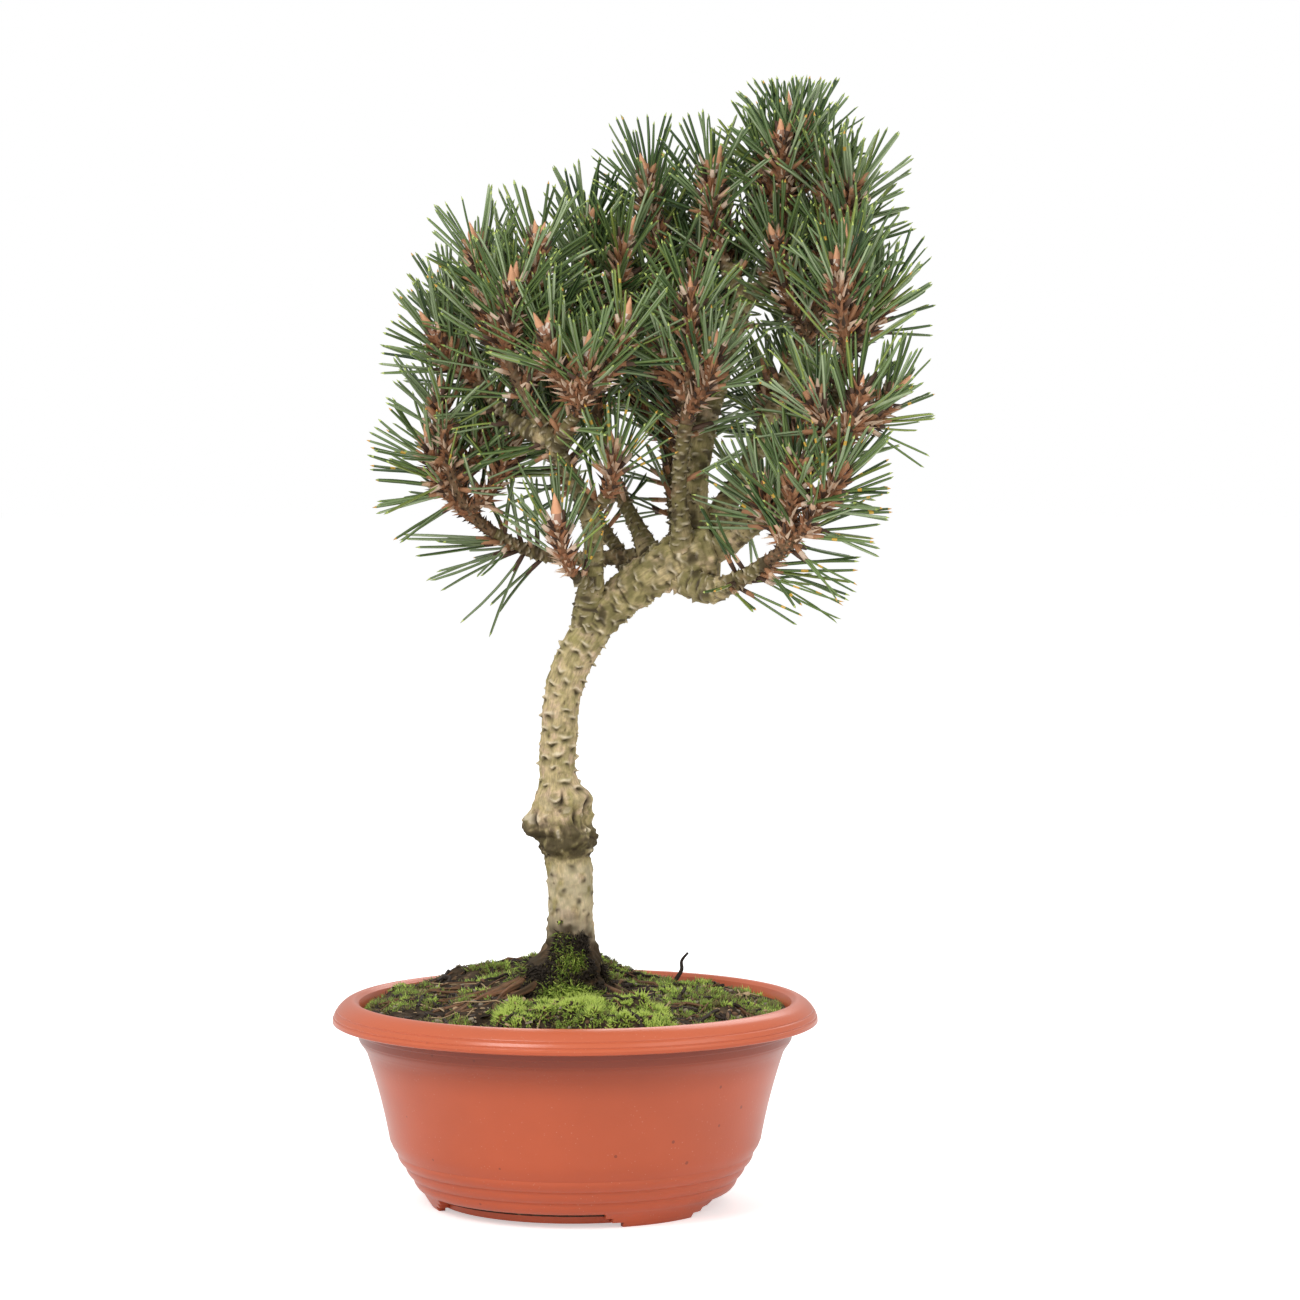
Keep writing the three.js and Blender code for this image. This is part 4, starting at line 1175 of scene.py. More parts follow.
def shape_graft(skin, place, drawn):
    """The graft union: knobbly bulges over an abrupt ledge, with painted shade above the ledge under the
    bulges, and cracks above, darkened with painted shade.
    """
    height = place[..., 2]
    turn = (np.degrees(skin.angle)[None] + 180) % 360 - 180
    wave = 1.5 * noise(place, 6, 23) + 1.0 * noise(place, 2.5, 31)
    above = height - LEDGE_Z + wave
    near = bump(height, 170, 14)
    ledge = smoothstep(above, -0.5, 1.5)
    body = ledge * smoothstep(-height, -190, -172)
    knobs = np.maximum(noise(place, 7, 21), -0.3) + 0.8 * np.maximum(noise(place, 3.4, 22), -0.2)
    skin.relief += 2.2 * near * ledge * (knobs - 0.3) + 0.7 * near * noise(place, 1.7, 30)
    left = 0.5 + 0.5 * np.cos(skin.angle + math.radians(105))[None]
    for side, bulges in ((1, GRAFT_ROUND), (left, GRAFT_LEFT), (1 - left, GRAFT_RIGHT)):
        for middle, width, size in bulges:
            skin.relief += side * size * bump(height, middle, width)
    # Painted shade: the grooves round the ledge are darkened.
    for middle, width, depth in BANDS:
        band = bump(above, middle, width) * (0.7 + 0.6 * noise(place, 4, 24))
        skin.relief -= depth * band
        skin.mark("dark_and_shade", 1.1 * band)
    # The cracks are dark bark, darkened further as painted shade.
    for angle, middle, length in CRACKS:
        swing = 11 * noise(drawn, 3, 25)
        crack = bump((turn - angle + swing + 180) % 360 - 180, 0, 6) * bump(height, middle, length)
        skin.relief -= 2.2 * crack
        skin.mark("dark_and_shade", 1.2 * crack)
    rough = noise(place, 4, 33) + 0.7 * noise(place, 1.5, 34)
    # Painted shade: a patchy band above the ledge, under the bulges, is darkened.
    dark = smoothstep(above, -1, 2) * smoothstep(-above, -18, -14) * smoothstep(rough, -0.8, 0.1)
    skin.relief += 0.9 * bump(above, 4, 7) * noise(drawn * (0.4, 0.4, 1), 1.5, 44)
    skin.mark("stain_and_shade", near * smoothstep(noise(place, 4.5, 26), 0.0, 0.5))
    # Painted shade: an olive band just above the ledge, under the bulges.
    skin.mark("stain_and_shade", bump(above, 6, 6))
    skin.mark("dark_and_shade", 0.8 * dark)
    flaky = noise(place, 4, 35) + 0.5 * noise(place, 1.6, 41) - 1.4 * dark
    flakes = near * body * smoothstep(flaky, 0.1, 0.5)
    skin.mark("lip", flakes)
    skin.relief += 0.5 * flakes


def root_line(angle, reach, bow, radius):
    start = np.array(TRUNK_PATH[0][:2], float)
    heading = math.radians(angle)
    ahead = np.array([math.cos(heading), math.sin(heading)])
    aside = np.array([-math.sin(heading), math.cos(heading)])
    places = []
    for share in np.linspace(0, 1, ROOT_BENDS + 1):
        x, y = start + ahead * reach * share + aside * bow * math.sin(math.pi * share)
        rise = 2 * ROOT_RISE * (1 - share) ** 2.4 + radius * 0.25
        places.append((x, y, float(soil_height(math.hypot(x, y))) + rise))
    return smooth_line(places)


STRANDS = 5
STRAND_SPREAD = 26
STRAND_SHARE = 0.44


def root_strands():
    """Each surface root as a fan of thinner strands: order, compass angle, reach, bow and radius."""
    rng = np.random.default_rng(STRAND_SEED)
    rows = []
    for angle, reach, bow, radius in ROOTS:
        for aside in np.linspace(-0.5, 0.5, STRANDS):
            rows.append((
                len(rows), angle + STRAND_SPREAD * aside + rng.uniform(-3, 3), reach * rng.uniform(0.7, 1.1),
                bow + rng.uniform(-5, 5), radius * STRAND_SHARE * rng.uniform(0.7, 1.3),
            ))
    return rows


def shape_root(order, angle, reach, bow, radius):
    """A strand of a surface root: woody, ridged along its length, and thinning into the soil."""
    skin = Skin(root_line(angle, reach, bow, radius), lambda s: radius * mix(1.3, 0.4, s), 16, 0.8)
    place = skin.places()
    drawn = skin.unrolled() * (1, 1, 0.1)
    skin.relief += 0.4 * noise(drawn, 1.6, 31 + order) + 0.3 * noise(drawn, 0.8, 32 + order)
    skin.relief += 0.5 * noise(place, 5, 35 + order)
    skin.masks["age"][:] = 0.72 + 0.2 * noise(place, 9, 40)
    skin.mark("dark_and_shade", 0.8 * smoothstep(-noise(drawn, 1.8, 39 + order), 0, 0.6))
    return skin


BOUGH_RING = 0.7
BOUGH_SCAR_RISE = 0.8
BOUGH_SCAR_SIZE = 0.66


def shape_bough(order, limb, scar_height):
    """A bough's skin, with closer and smaller scars than the trunk's, browner towards its tip."""
    girth = FULL_TURN * (limb.base + limb.tip) / 2
    skin = Skin(limb.line, limb.radius, max(round(girth / BOUGH_RING), 18), BOUGH_RING)
    place = skin.places()
    around = skin.unrolled() * (0.25, 0.25, 1)
    skin.relief += 0.4 * noise(place, 6, 50 + order) + 0.3 * noise(place, 1.9, 51 + order)
    collar = bump(skin.run[:, None], 12, 9)
    wrinkle = 1 - 3 * np.abs(noise(around, 1.9, 52 + order))
    skin.relief += (0.05 + 0.25 * collar) * wrinkle + 0.2 * limb.base * collar
    # Painted shade: the wrinkles' troughs are darkened, most at the collar.
    skin.mark("dark_and_shade", (0.4 + 0.5 * collar) * smoothstep(-wrinkle, 0.1, 1.0))
    skin.mark("dark_and_shade", 0.8 * smoothstep(noise(place, 3, 57 + order), 0.25, 0.6))
    skin.mark("stain_and_shade", smoothstep(noise(place, 5, 55 + order), -0.5, 0.3))
    for scar in range(int(limb.length / BOUGH_SCAR_RISE)):
        at = scar * BOUGH_SCAR_RISE
        wave, size = (noise_at((scar * 3.7, order, 0), 1.0, 53 + k) for k in (0, 3))
        skin.scar(at, scar * GOLDEN + order, BOUGH_SCAR_SIZE * (1 + 0.25 * size),
                  scar_height * (1 + 0.6 * wave), wave)
    slim = smoothstep(-skin.radius[:, None], -4.8, -2.8)
    skin.masks["age"][:] = np.clip(slim * (0.46 + 0.25 * noise(place, 5, 54 + order)), 0, 0.5)
    return skin


# Shoots, needles, sheaths and buds

SHOOT_SIDES = 13
SHOOT_STEP = 0.9
SHOOT_RADIUS = 2.9
SHOOT_TIP_RADIUS = 2.1
SHOOT_SCAR_SIZE = 0.5
SHOOT_SCAR_RISE = 0.62
SHOOT_SCAR_HEIGHT = 1.0
SHOOT_LINE_POINTS = 41

# The upper half of a side shoot turns up by this share, and is longer than the solid's by this factor.
SIDE_UPTURN = 0.6
SIDE_LENGTHENING = 1.3

# Shoots that stand up beside the leading ones: mass, where they leave, and their tips.
UPRIGHTS = (
    ("foliage_left_top", 0.4, (-16, -18, 436)), ("foliage_top", 0.35, (93, -7, 483)),
    ("foliage_right_crest", 0.5, (125, -9, 461)), ("foliage_right_crest", 0.15, (91, -6, 437)),
    ("foliage_centre", 0.12, (63, -38, 386)), ("foliage_left", 0.3, (-62, -14, 394)),
    ("foliage_right_front", 0.3, (106, -52, 366)), ("foliage_low_right", 0.2, (98, -50, 336)),
    ("foliage_left_rear", 0.4, (22, 4, 436)), ("foliage_right_front", 0.45, (141, -42, 366)),
    ("foliage_right_top", 0.25, (138, -24, 412)),
)

# A side shoot whose tip comes closer than this to another's is shed, in front and behind.
SHADE_FRONT = 20
SHADE_REAR = 18

# Bands of a shoot by distance below its tip: where each ends, how full it is, and the lean of its
# needles from the shoot at its upper and lower end.
NEEDLE_BANDS = (
    (19, 0.92, 14, 56), (30, 0.22, 44, 56), (54, 0.66, 40, 62), (66, 0.18, 50, 62), (88, 0.5, 48, 68),
    (400, 0.14, 55, 70),
)
LEAN_JITTER = 14

# Headings turn up by this much. On a mass with the full droop they hang instead, old ones more.
UPTURN = 0.12
FULL_DROOP = 35
OLD_DROOP = 0.25

# Where needles age, below the tip, how much longer old ones are, and the range of all lengths.
AGEING = (20, 40)
OLD_GROWTH = 0.16
LENGTH_RANGE = (0.84, 1.08)

# How much the crown is thinned where its sprays lean to the front, and at its rear.
FRONT_THINNING = 0.7
REAR_THINNING = 0.35

# Old wood still bears some pairs: how far below a bough's tip, how full, and their lean.
BOUGH_REACH = 34
BOUGH_FULLNESS = 0.26
BOUGH_LEAN = (50, 74)

# Long old pairs that hang from the lowest boughs: the bough, the share of its length and the heading.
OLD_PAIRS = (
    ("bough_low_left", 0.98, (-1, -0.15, 0.02)), ("bough_low_left", 0.94, (-0.95, -0.3, -0.14)),
    ("bough_low_left", 0.88, (-0.85, -0.2, -0.36)), ("bough_low_left", 0.84, (-0.8, -0.35, -0.26)),
    ("bough_low_left", 0.8, (-0.35, -0.1, -0.6)), ("bough_low_right", 0.98, (1, -0.15, 0.1)),
    ("bough_low_right", 0.93, (0.95, -0.25, -0.08)), ("bough_low_right", 0.88, (0.85, -0.3, -0.26)),
    ("bough_low_right", 0.84, (0.78, -0.1, -0.4)), ("bough_low_right", 0.95, (0.9, 0.3, -0.3)),
)
OLD_LENGTH = 43


def bough_of(owner):
    return next(limb for limb in LIMBS if limb.name == MASSES[owner][1])


class Shoot:
    """A shoot of the crown: its mass, its line and its radius at its foot."""

    def __init__(self, owner, control, foot=SHOOT_RADIUS):
        self.owner = owner
        self.line = bezier(control, np.linspace(0, 1, SHOOT_LINE_POINTS))
        self.length = line_length(self.line)
        self.foot = foot

    def radius(self, share):
        """A leading shoot starts as wide as its bough's tip."""
        share = np.asarray(share)
        stem = mix(SHOOT_RADIUS, SHOOT_TIP_RADIUS, share ** 2)
        return stem + (self.foot - SHOOT_RADIUS) * np.exp(-share * self.length / 9)


def turned_up(control):
    """A side shoot whose upper half stands more upright than the solid's."""
    start, elbow, end = control
    rest = end - elbow
    reach = np.linalg.norm(rest)
    heading = unit(mix(unit(rest), np.array([0, 0, 1.0]), SIDE_UPTURN))
    return np.array([start, elbow, elbow + heading * reach * SIDE_LENGTHENING])


def upright_shoot(mass, start_share, tip):
    """A shoot that leaves a mass's leading shoot and stands up to a given tip."""
    owner = [each[0] for each in MASSES].index(mass)
    start = bezier(CROWN[owner][1], start_share)
    tip = np.array(tip, float)
    elbow = np.array([mix(start[0], tip[0], 0.8), mix(start[1], tip[1], 0.8), mix(start[2], tip[2], 0.35)])
    return Shoot(owner, np.array([start, elbow, tip]))


def all_shoots():
    """The leading shoots, the upright ones, and those turned-up side shoots that get enough light."""
    leads = len(MASSES)
    shoots = [Shoot(owner, control, bough_of(owner).tip) for owner, control in CROWN[:leads]]
    shoots += [upright_shoot(*row) for row in UPRIGHTS]
    for owner, control in CROWN[leads:]:
        shoot = Shoot(owner, turned_up(control))
        tips = np.array([other.line[-1] for other in shoots])
        shade = SHADE_FRONT if shoot.line[-1][1] < 5 else SHADE_REAR
        if np.linalg.norm(tips - shoot.line[-1], axis=1).min() > shade:
            shoots.append(shoot)
    return shoots


SHOOTS = all_shoots()


def shape_shoot(order, shoot):
    """A shoot's skin: bright and pitted near its tip, dark and rough where it is older."""
    skin = Skin(shoot.line, shoot.radius, SHOOT_SIDES, SHOOT_STEP)
    for scar in range(int(shoot.length / SHOOT_SCAR_RISE)):
        wave = noise_at((scar * 3.7, order, 1), 1.0, 60)
        skin.scar(scar * SHOOT_SCAR_RISE, scar * GOLDEN + order, SHOOT_SCAR_SIZE,
                  SHOOT_SCAR_HEIGHT * (1 + 0.4 * wave), wave)
    place = skin.places()
    below_tip = shoot.length - skin.run[:, None]
    fresh = smoothstep(-below_tip, -40, -30)
    skin.masks["age"][:] = mix(0.5, 1.0, fresh) + 0.1 * noise(place, 4, 61)
    skin.masks["stain_and_shade"] *= 0.3
    skin.masks["lip"] *= 0.25
    return skin


def climbed(stem, rise, phase):
    """Places up a stem by the golden angle: the shares of its length, places, tangents and ways out."""
    count = int(stem.length / rise)
    stations = spaced(stem.line, count)
    tangents, across, beside = frames_along(stations)
    turn = (np.arange(count + 1) * GOLDEN + phase)[:, None]
    outward = spoke(across, beside, turn)
    return np.linspace(0, 1, count + 1), stations, tangents, outward


def spray_rule(sizes, rng):
    """Each pair of needles of the crown: its root, heading, a direction across it, length and shoot.

    Pairs climb each shoot by the golden angle. They stand close together under its tip, leave a
    bare stretch below, and thin out on older wood. A pair that would meet a limb or another shoot
    is skipped, and one that would leave the crown's reach is shorter or skipped.
    """
    rows = old_pairs()
    stems = [(order, shoot, shoot.owner) for order, shoot in enumerate(SHOOTS)]
    stems += [(owner, bough_of(owner), owner) for owner in range(len(MASSES))]
    for order, stem, owner in stems:
        share, stations, tangents, outward = climbed(stem, sizes.needle_rise / MM, order)
        count = len(share)
        run = share * stem.length
        below_tip = stem.length - run
        droop = MASSES[owner][6]
        if isinstance(stem, Limb):
            droop = 0
            full = BOUGH_FULLNESS * smoothstep(-below_tip, -BOUGH_REACH, -BOUGH_REACH / 2)
            lean = rng.uniform(*BOUGH_LEAN, count)
        else:
            lean, full = needle_lean(below_tip, droop)
        full = full * (1 - FRONT_THINNING * np.clip(-outward[:, 1], 0, 1) ** 2)
        full = full * (1 - REAR_THINNING * smoothstep(stem.line[-1][1], 10, 40))
        lean += rng.uniform(-LEAN_JITTER, LEAN_JITTER, count) + rng.uniform(-6, 9)
        lean = np.radians(lean)[:, None]
        heading = tangents * np.cos(lean) + outward * np.sin(lean)
        old = smoothstep(below_tip, *AGEING)
        heading[:, 2] += UPTURN - droop / FULL_DROOP * (UPTURN + OLD_DROOP * old)
        heading = unit(heading)
        grows = (run > BARE_LENGTH) & (below_tip > 0.6) & (rng.random(count) < full)
        root = stations + outward * (stem.radius(share) - 0.5)[:, None]
        length = sizes.needle_length / MM * rng.uniform(*LENGTH_RANGE, count) * (1 + OLD_GROWTH * old)
        sideways = np.cross(tangents, outward)
        whose = np.full(count, order)
        rows.append([part[grows] for part in (root, heading, sideways, length, whose)])
    root, heading, sideways, length, whose = (np.concatenate(part) for part in zip(*rows))
    length *= length_within_reach(root, heading, length)
    clear = stays_clear(root, heading, length, whose)
    return [part[clear] for part in (root, heading, sideways, length, whose)]


def old_pairs():
    """The long old pairs, as rows of root, heading, direction across, length and shoot."""
    rows = []
    for name, share, heading in OLD_PAIRS:
        owner = [mass[1] for mass in MASSES].index(name)
        limb = bough_of(owner)
        heading = unit(np.array(heading, float))
        at = int(share * (len(limb.line) - 2))
        tangent = unit(limb.line[at + 1] - limb.line[at])
        outward = unit(heading - tangent * heading.dot(tangent))
        root = limb.line[at] + outward * (float(limb.radius(share)) - 0.5)
        sideways = np.cross(tangent, outward)
        rows.append([np.array([part]) for part in (root, heading, sideways, float(OLD_LENGTH), owner)])
    return rows


def needle_lean(below_tip, droop):
    """The lean from the shoot and the fullness at each distance below its tip."""
    lean, full = np.zeros_like(below_tip), np.zeros_like(below_tip)
    top = 0
    for bottom, fullness, high, low in NEEDLE_BANDS:
        here = (below_tip >= top) & (below_tip < bottom)
        depth = (below_tip - top) / (min(bottom, top + 60) - top)
        lean[here] = mix(high, low, np.clip(depth, 0, 1) ** 0.8)[here]
        full[here] = fullness
        top = bottom
    return lean + 0.5 * droop * smoothstep(below_tip, 8, 40), full


# Room at the edge of the model's box for a needle's splay and bend.
REACH_MARGIN = 4


def length_within_reach(root, heading, length):
    """The share of its length that each needle can have inside the model's box."""
    low, high = (np.array(corner) / MM for corner in CAD_BOX)
    share = np.ones(len(root))
    tip = root + heading * length[:, None]
    for edge, sign in ((low + REACH_MARGIN, -1), (high - REACH_MARGIN, 1)):
        over = np.maximum(sign * (tip - edge), 0)
        step = np.maximum(sign * (tip - root), 1e-6)
        share = np.minimum(share, (1 - over / step).min(1))
    return np.clip(share, 0, 1)


SHORTEST_NEEDLE = 22


def stays_clear(root, heading, length, whose):
    """Which pairs are long enough and keep off every limb and every other shoot."""
    clear = length > SHORTEST_NEEDLE
    starts = np.vstack([shoot.line[:-1:8] for shoot in SHOOTS])
    ends = np.vstack([shoot.line[8::8] for shoot in SHOOTS])
    homes = np.repeat(np.arange(len(SHOOTS)), len(SHOOTS[0].line[:-1:8]))
    for share in (0.35, 0.6, 0.8, 1.0):
        tips = root + heading * (length * share)[:, None]
        for first in range(0, len(root), 600):
            part = slice(first, first + 600)
            near_limb = distances(tips[part], LIMB_STARTS, LIMB_ENDS) < LIMB_RADII + 0.8
            near_shoot = distances(tips[part], starts, ends) < SHOOT_TIP_RADIUS
            near_shoot &= homes[None] != whose[part, None]
            clear[part] &= ~(near_limb.any(1) | near_shoot.any(1))
    return clear


# Half-width and thickness of a needle's section at each station, as shares of its full size.
NEEDLE_STATIONS = (
    (0, 0.8, 0.8), (0.13, 0.95, 0.95), (0.36, 1, 1), (0.44, 1, 1), (0.64, 1, 1), (0.71, 1, 1),
    (0.94, 0.8, 0.8),
)
NEEDLE_THICKNESS = 0.6
NEEDLE_BEND = 0.06
PAIR_SPLAY = 3.2
SHEATH_LENGTH = 9.5
SHEATH_RADIUS = 1.2
NEEDLE_START = SHEATH_LENGTH * 0.3
SHEATH_SIDES = 5

# Where a sheath's rings stand along it and how wide they are.
SHEATH_RINGS = ((-0.05, 0.85), (0.5, 1.05), (0.95, 0.95))


def grow_needles(sprays, sizes, rng):
    """Places of all needles: two to a pair, each with a flat inner and a round outer side."""
    roots, headings, sides, lengths, _ = sprays
    count = len(roots)
    twist = rng.uniform(0, math.pi, count)[:, None]
    other = np.cross(headings, sides)
    plane = unit(spoke(sides, other, twist))
    plane = unit(plane - headings * (plane * headings).sum(1, keepdims=True))
    splay = np.radians(PAIR_SPLAY * rng.uniform(0.5, 1.5, count))[:, None]
    half_width = sizes.needle_width / MM / 2
    points = []
    for hand in (1, -1):
        start = headings * np.cos(splay) + plane * np.sin(splay) * hand
        across = unit(np.cross(plane, headings))
        bend = rng.normal(0, NEEDLE_BEND, (count, 1)) * plane
        bend = bend + rng.normal(0, NEEDLE_BEND, (count, 1)) * across
        length = (lengths * rng.uniform(0.95, 1.0, count))[:, None]
        base = roots + headings * NEEDLE_START + plane * hand * 0.08
        rings = []
        for at, wide, thick in NEEDLE_STATIONS:
            middle = base + (length - NEEDLE_START) * (at * start + at * at * bend)
            flat = across * half_width * wide
            out = plane * hand * half_width * NEEDLE_THICKNESS * thick * 2
            corners = [middle - flat, middle + flat, middle + flat * 0.6 + out, middle - flat * 0.6 + out]
            rings.append(np.stack(corners if hand > 0 else corners[::-1], 1))
        tip = base + (length - NEEDLE_START) * (start + bend)
        points.append(np.concatenate([*rings, tip[:, None]], 1))
    return np.stack(points, 1)


# What a face of a needle is.
FOOT, INNER, SIDE, BACK, TIP, BAND = range(6)


def needle_faces():
    """One needle's faces of four corners with what each is, and the three-cornered ones of its tip."""
    rings = len(NEEDLE_STATIONS)
    quads, tip, _ = tube_faces(rings, 4)
    kinds = [FOOT] * 4 + [INNER, SIDE, BACK, SIDE] * (rings - 2) + [FOOT]
    return np.vstack([quads, [(3, 2, 1, 0)]]), tip, kinds


NEEDLE_POINTS = 4 * len(NEEDLE_STATIONS) + 1

# Rings of faces where a needle may have a yellow band, how often it has one, and that of the worst shoots.
YELLOWED_RINGS = (2, 4)
YELLOWED_SHARE = 0.008
WORST_YELLOWED_SHARE = 0.2
WORST_SHOOTS = 0.12

# Plain colours, in linear light, of backs, sides, inner sides, feet, tips and yellowed bands.
NEEDLE_COLOURS = (
    (BACK, "back", ((0.034, 0.068, 0.018), (0.06, 0.104, 0.024), (0.082, 0.126, 0.034),
                    (0.145, 0.19, 0.032))),
    (SIDE, "side", ((0.085, 0.145, 0.042), (0.14, 0.21, 0.056), (0.19, 0.25, 0.12),
                    (0.25, 0.32, 0.065))),
    (INNER, "inner", ((0.2, 0.28, 0.12), (0.35, 0.43, 0.24))),
    (FOOT, "foot", ((0.18, 0.28, 0.055), (0.28, 0.36, 0.085))),
    (TIP, "tip", ((0.28, 0.37, 0.08), (0.46, 0.55, 0.14), (0.66, 0.36, 0.06))),
    (BAND, "yellowed", ((0.62, 0.38, 0.05),)),
)


def needle_materials():
    """A plain material for each tint, and where each kind's tints start in the list."""
    materials, starts = [], {}
    for kind, name, tints in NEEDLE_COLOURS:
        starts[kind] = len(materials)
        rows = [(f"needle_{name}_{order + 1}", colour) for order, colour in enumerate(tints)]
        materials += plain_materials(rows, 0.4, 0.42)
    return materials, starts


def deal_needle_tints(whose, kinds, starts, rng):
    """The material of each face: a tint for each spray, varied a little from needle to needle."""
    needles = 2 * len(whose)
    spray = rng.integers(0, 3, len(SHOOTS))[np.repeat(whose, 2)]
    tint = np.where(rng.random(needles) < 0.65, spray, rng.integers(0, 4, needles))
    pale = (rng.random(needles) < 0.4).astype(int)
    tone = {BACK: tint, SIDE: tint, INNER: pale, FOOT: pale}
    quads = np.stack([starts[kind] + tone[kind] for kind in kinds], 1)
    worst = rng.random(len(SHOOTS))[np.repeat(whose, 2)] < WORST_SHOOTS
    tip = starts[TIP] + rng.choice(3, needles, p=(0.6, 0.37, 0.03))
    for ring in YELLOWED_RINGS:
        yellowed = rng.random(needles) < np.where(worst, WORST_YELLOWED_SHARE, YELLOWED_SHARE)
        quads[yellowed, 4 * ring:4 * ring + 4] = starts[BAND]
        tip[yellowed] = starts[TIP] + 2
    return quads, np.repeat(tip[:, None], 4, 1)


def make_needles(sprays, sizes, rng):
    """All needles, whose faces take their tints by what they are."""
    pairs = len(sprays[0])
    points = grow_needles(sprays, sizes, rng).reshape(pairs, 2 * NEEDLE_POINTS, 3)
    quads, tips, kinds = needle_faces()
    materials, starts = needle_materials()
    tints = [dealt.reshape(pairs, -1) for dealt in deal_needle_tints(sprays[4], kinds, starts, rng)]
    shapes = [np.vstack([shape, shape + NEEDLE_POINTS]) for shape in (quads, tips)]
    new_copies("needles_{}", points, shapes, tints, materials)


def grow_sheaths(sprays, rng):
    """Papery sleeves round the feet of the pairs: five-sided, swollen at the middle, with a ragged end."""
    roots, headings, sides = sprays[:3]
    count = len(roots)
    other = np.cross(headings, sides)
    across = unit(other)
    beside = np.cross(headings, across)
    length = SHEATH_LENGTH * rng.uniform(0.85, 1.1, count)
    rings = []
    for at, wide in SHEATH_RINGS:
        for side in range(SHEATH_SIDES):
            turn = FULL_TURN * side / SHEATH_SIDES
            ragged = rng.uniform(-0.12, 0.12, count) if at > 0.9 else 0
            outward = spoke(across, beside, turn)
            middle = roots + headings * (length * (at + ragged))[:, None]
            rings.append(middle + outward * SHEATH_RADIUS * wide)
    foot = roots - headings * 0.4
    end = roots + headings * (length * 0.8)[:, None]
    return np.stack([*rings, end, foot], 1)


SHEATH_COLOURS = (
    ("sheath_brown", (0.38, 0.18, 0.085)), ("sheath_dark", (0.08, 0.04, 0.022)),
    ("sheath_papery", (0.6, 0.38, 0.24)), ("sheath_frayed", (0.62, 0.46, 0.34)),
)


def make_sheaths(sprays, rng):
    """The sheaths of all pairs: each one's lower and upper half has its own brown, and its end is frayed."""
    points = grow_sheaths(sprays, rng)
    lower = rng.choice(3, len(points), p=(0.5, 0.3, 0.2))[:, None]
    upper = rng.choice(4, len(points), p=(0.3, 0.35, 0.15, 0.2))[:, None]
    halves = np.concatenate([np.repeat(half, SHEATH_SIDES, 1) for half in (lower, upper)], 1)
    frayed = len(SHEATH_COLOURS) - 1
    new_copies(
        "needle_sheaths_{}", points, tube_faces(len(SHEATH_RINGS), SHEATH_SIDES),
        (halves, frayed, lower), plain_materials(SHEATH_COLOURS, 0.7),
    )


SCALE_RISE = 0.36
PEG_RISE = 1.15
SCALE_COLOURS = (
    ("scale_brown", (0.36, 0.16, 0.075)), ("scale_dark", (0.06, 0.033, 0.02)),
    ("scale_pale", (0.66, 0.48, 0.34)), ("peg_olive", (0.17, 0.14, 0.06)), ("peg_dark", (0.07, 0.05, 0.026)),
)


def scale_rows(stem, rise, rng):
    """Roots and headings of small scales that climb a stem by the golden angle, and their runs."""
    count = int(stem.length / rise) + 1
    share, stations, tangents, outward = climbed(stem, rise, rng.uniform(-0.2, 0.2, count))
    lean = np.radians(rng.uniform(28, 66, count))[:, None]
    roots = stations + outward * (stem.radius(share) - 0.2)[:, None]
    return roots, tangents * np.cos(lean) + outward * np.sin(lean), share * stem.length


def make_scales(rng):
    """The remains of old sheaths on the shoots, and small pegs on the boughs, as one mesh of spikes."""
    rows = []
    for shoot in SHOOTS:
        roots, headings, run = scale_rows(shoot, SCALE_RISE, rng)
        fresh = smoothstep(run, shoot.length - 40, shoot.length - 28)
        keep = rng.random(len(run)) < 0.9
        lengths = rng.uniform(1.2, 3.2, len(run)) * (1 + 1.5 * fresh)
        widths = rng.uniform(0.5, 0.85, len(run)) * (1 + 0.55 * fresh)
        old = rng.choice(3, len(run), p=(0.35, 0.55, 0.1))
        young = rng.choice(3, len(run), p=(0.38, 0.22, 0.4))
        tints = np.where(rng.random(len(run)) < fresh, young, old)
        rows.append([part[keep] for part in (roots, headings, lengths, widths, tints)])
    for limb in LIMBS:
        roots, headings, run = scale_rows(limb, PEG_RISE, rng)
        keep = rng.random(len(run)) < 0.75
        lengths = rng.uniform(1.0, 2.3, len(run))
        tints = 3 + (rng.random(len(run)) < 0.5)
        rows.append([part[keep] for part in (roots, headings, lengths, np.full(len(run), 0.5), tints)])
    roots, headings, lengths, widths, tints = (np.concatenate(part) for part in zip(*rows))
    points = grow_spikes(roots, headings, lengths, widths)
    new_copies(
        "bark_scales", points, [SPIKE_FACES], [tints[:, None]],
        plain_materials(SCALE_COLOURS, 0.8), smooth=False,
    )


# Height along a bud and its radius there, each as a share of its full size.
BUD_SECTION = ((0, 0.5), (0.1, 0.86), (0.22, 1), (0.4, 0.95), (0.58, 0.78), (0.76, 0.5), (0.9, 0.24))
BUD_SIDES = 9
BUD_LENGTH = 15
BUD_RADIUS = 2.5


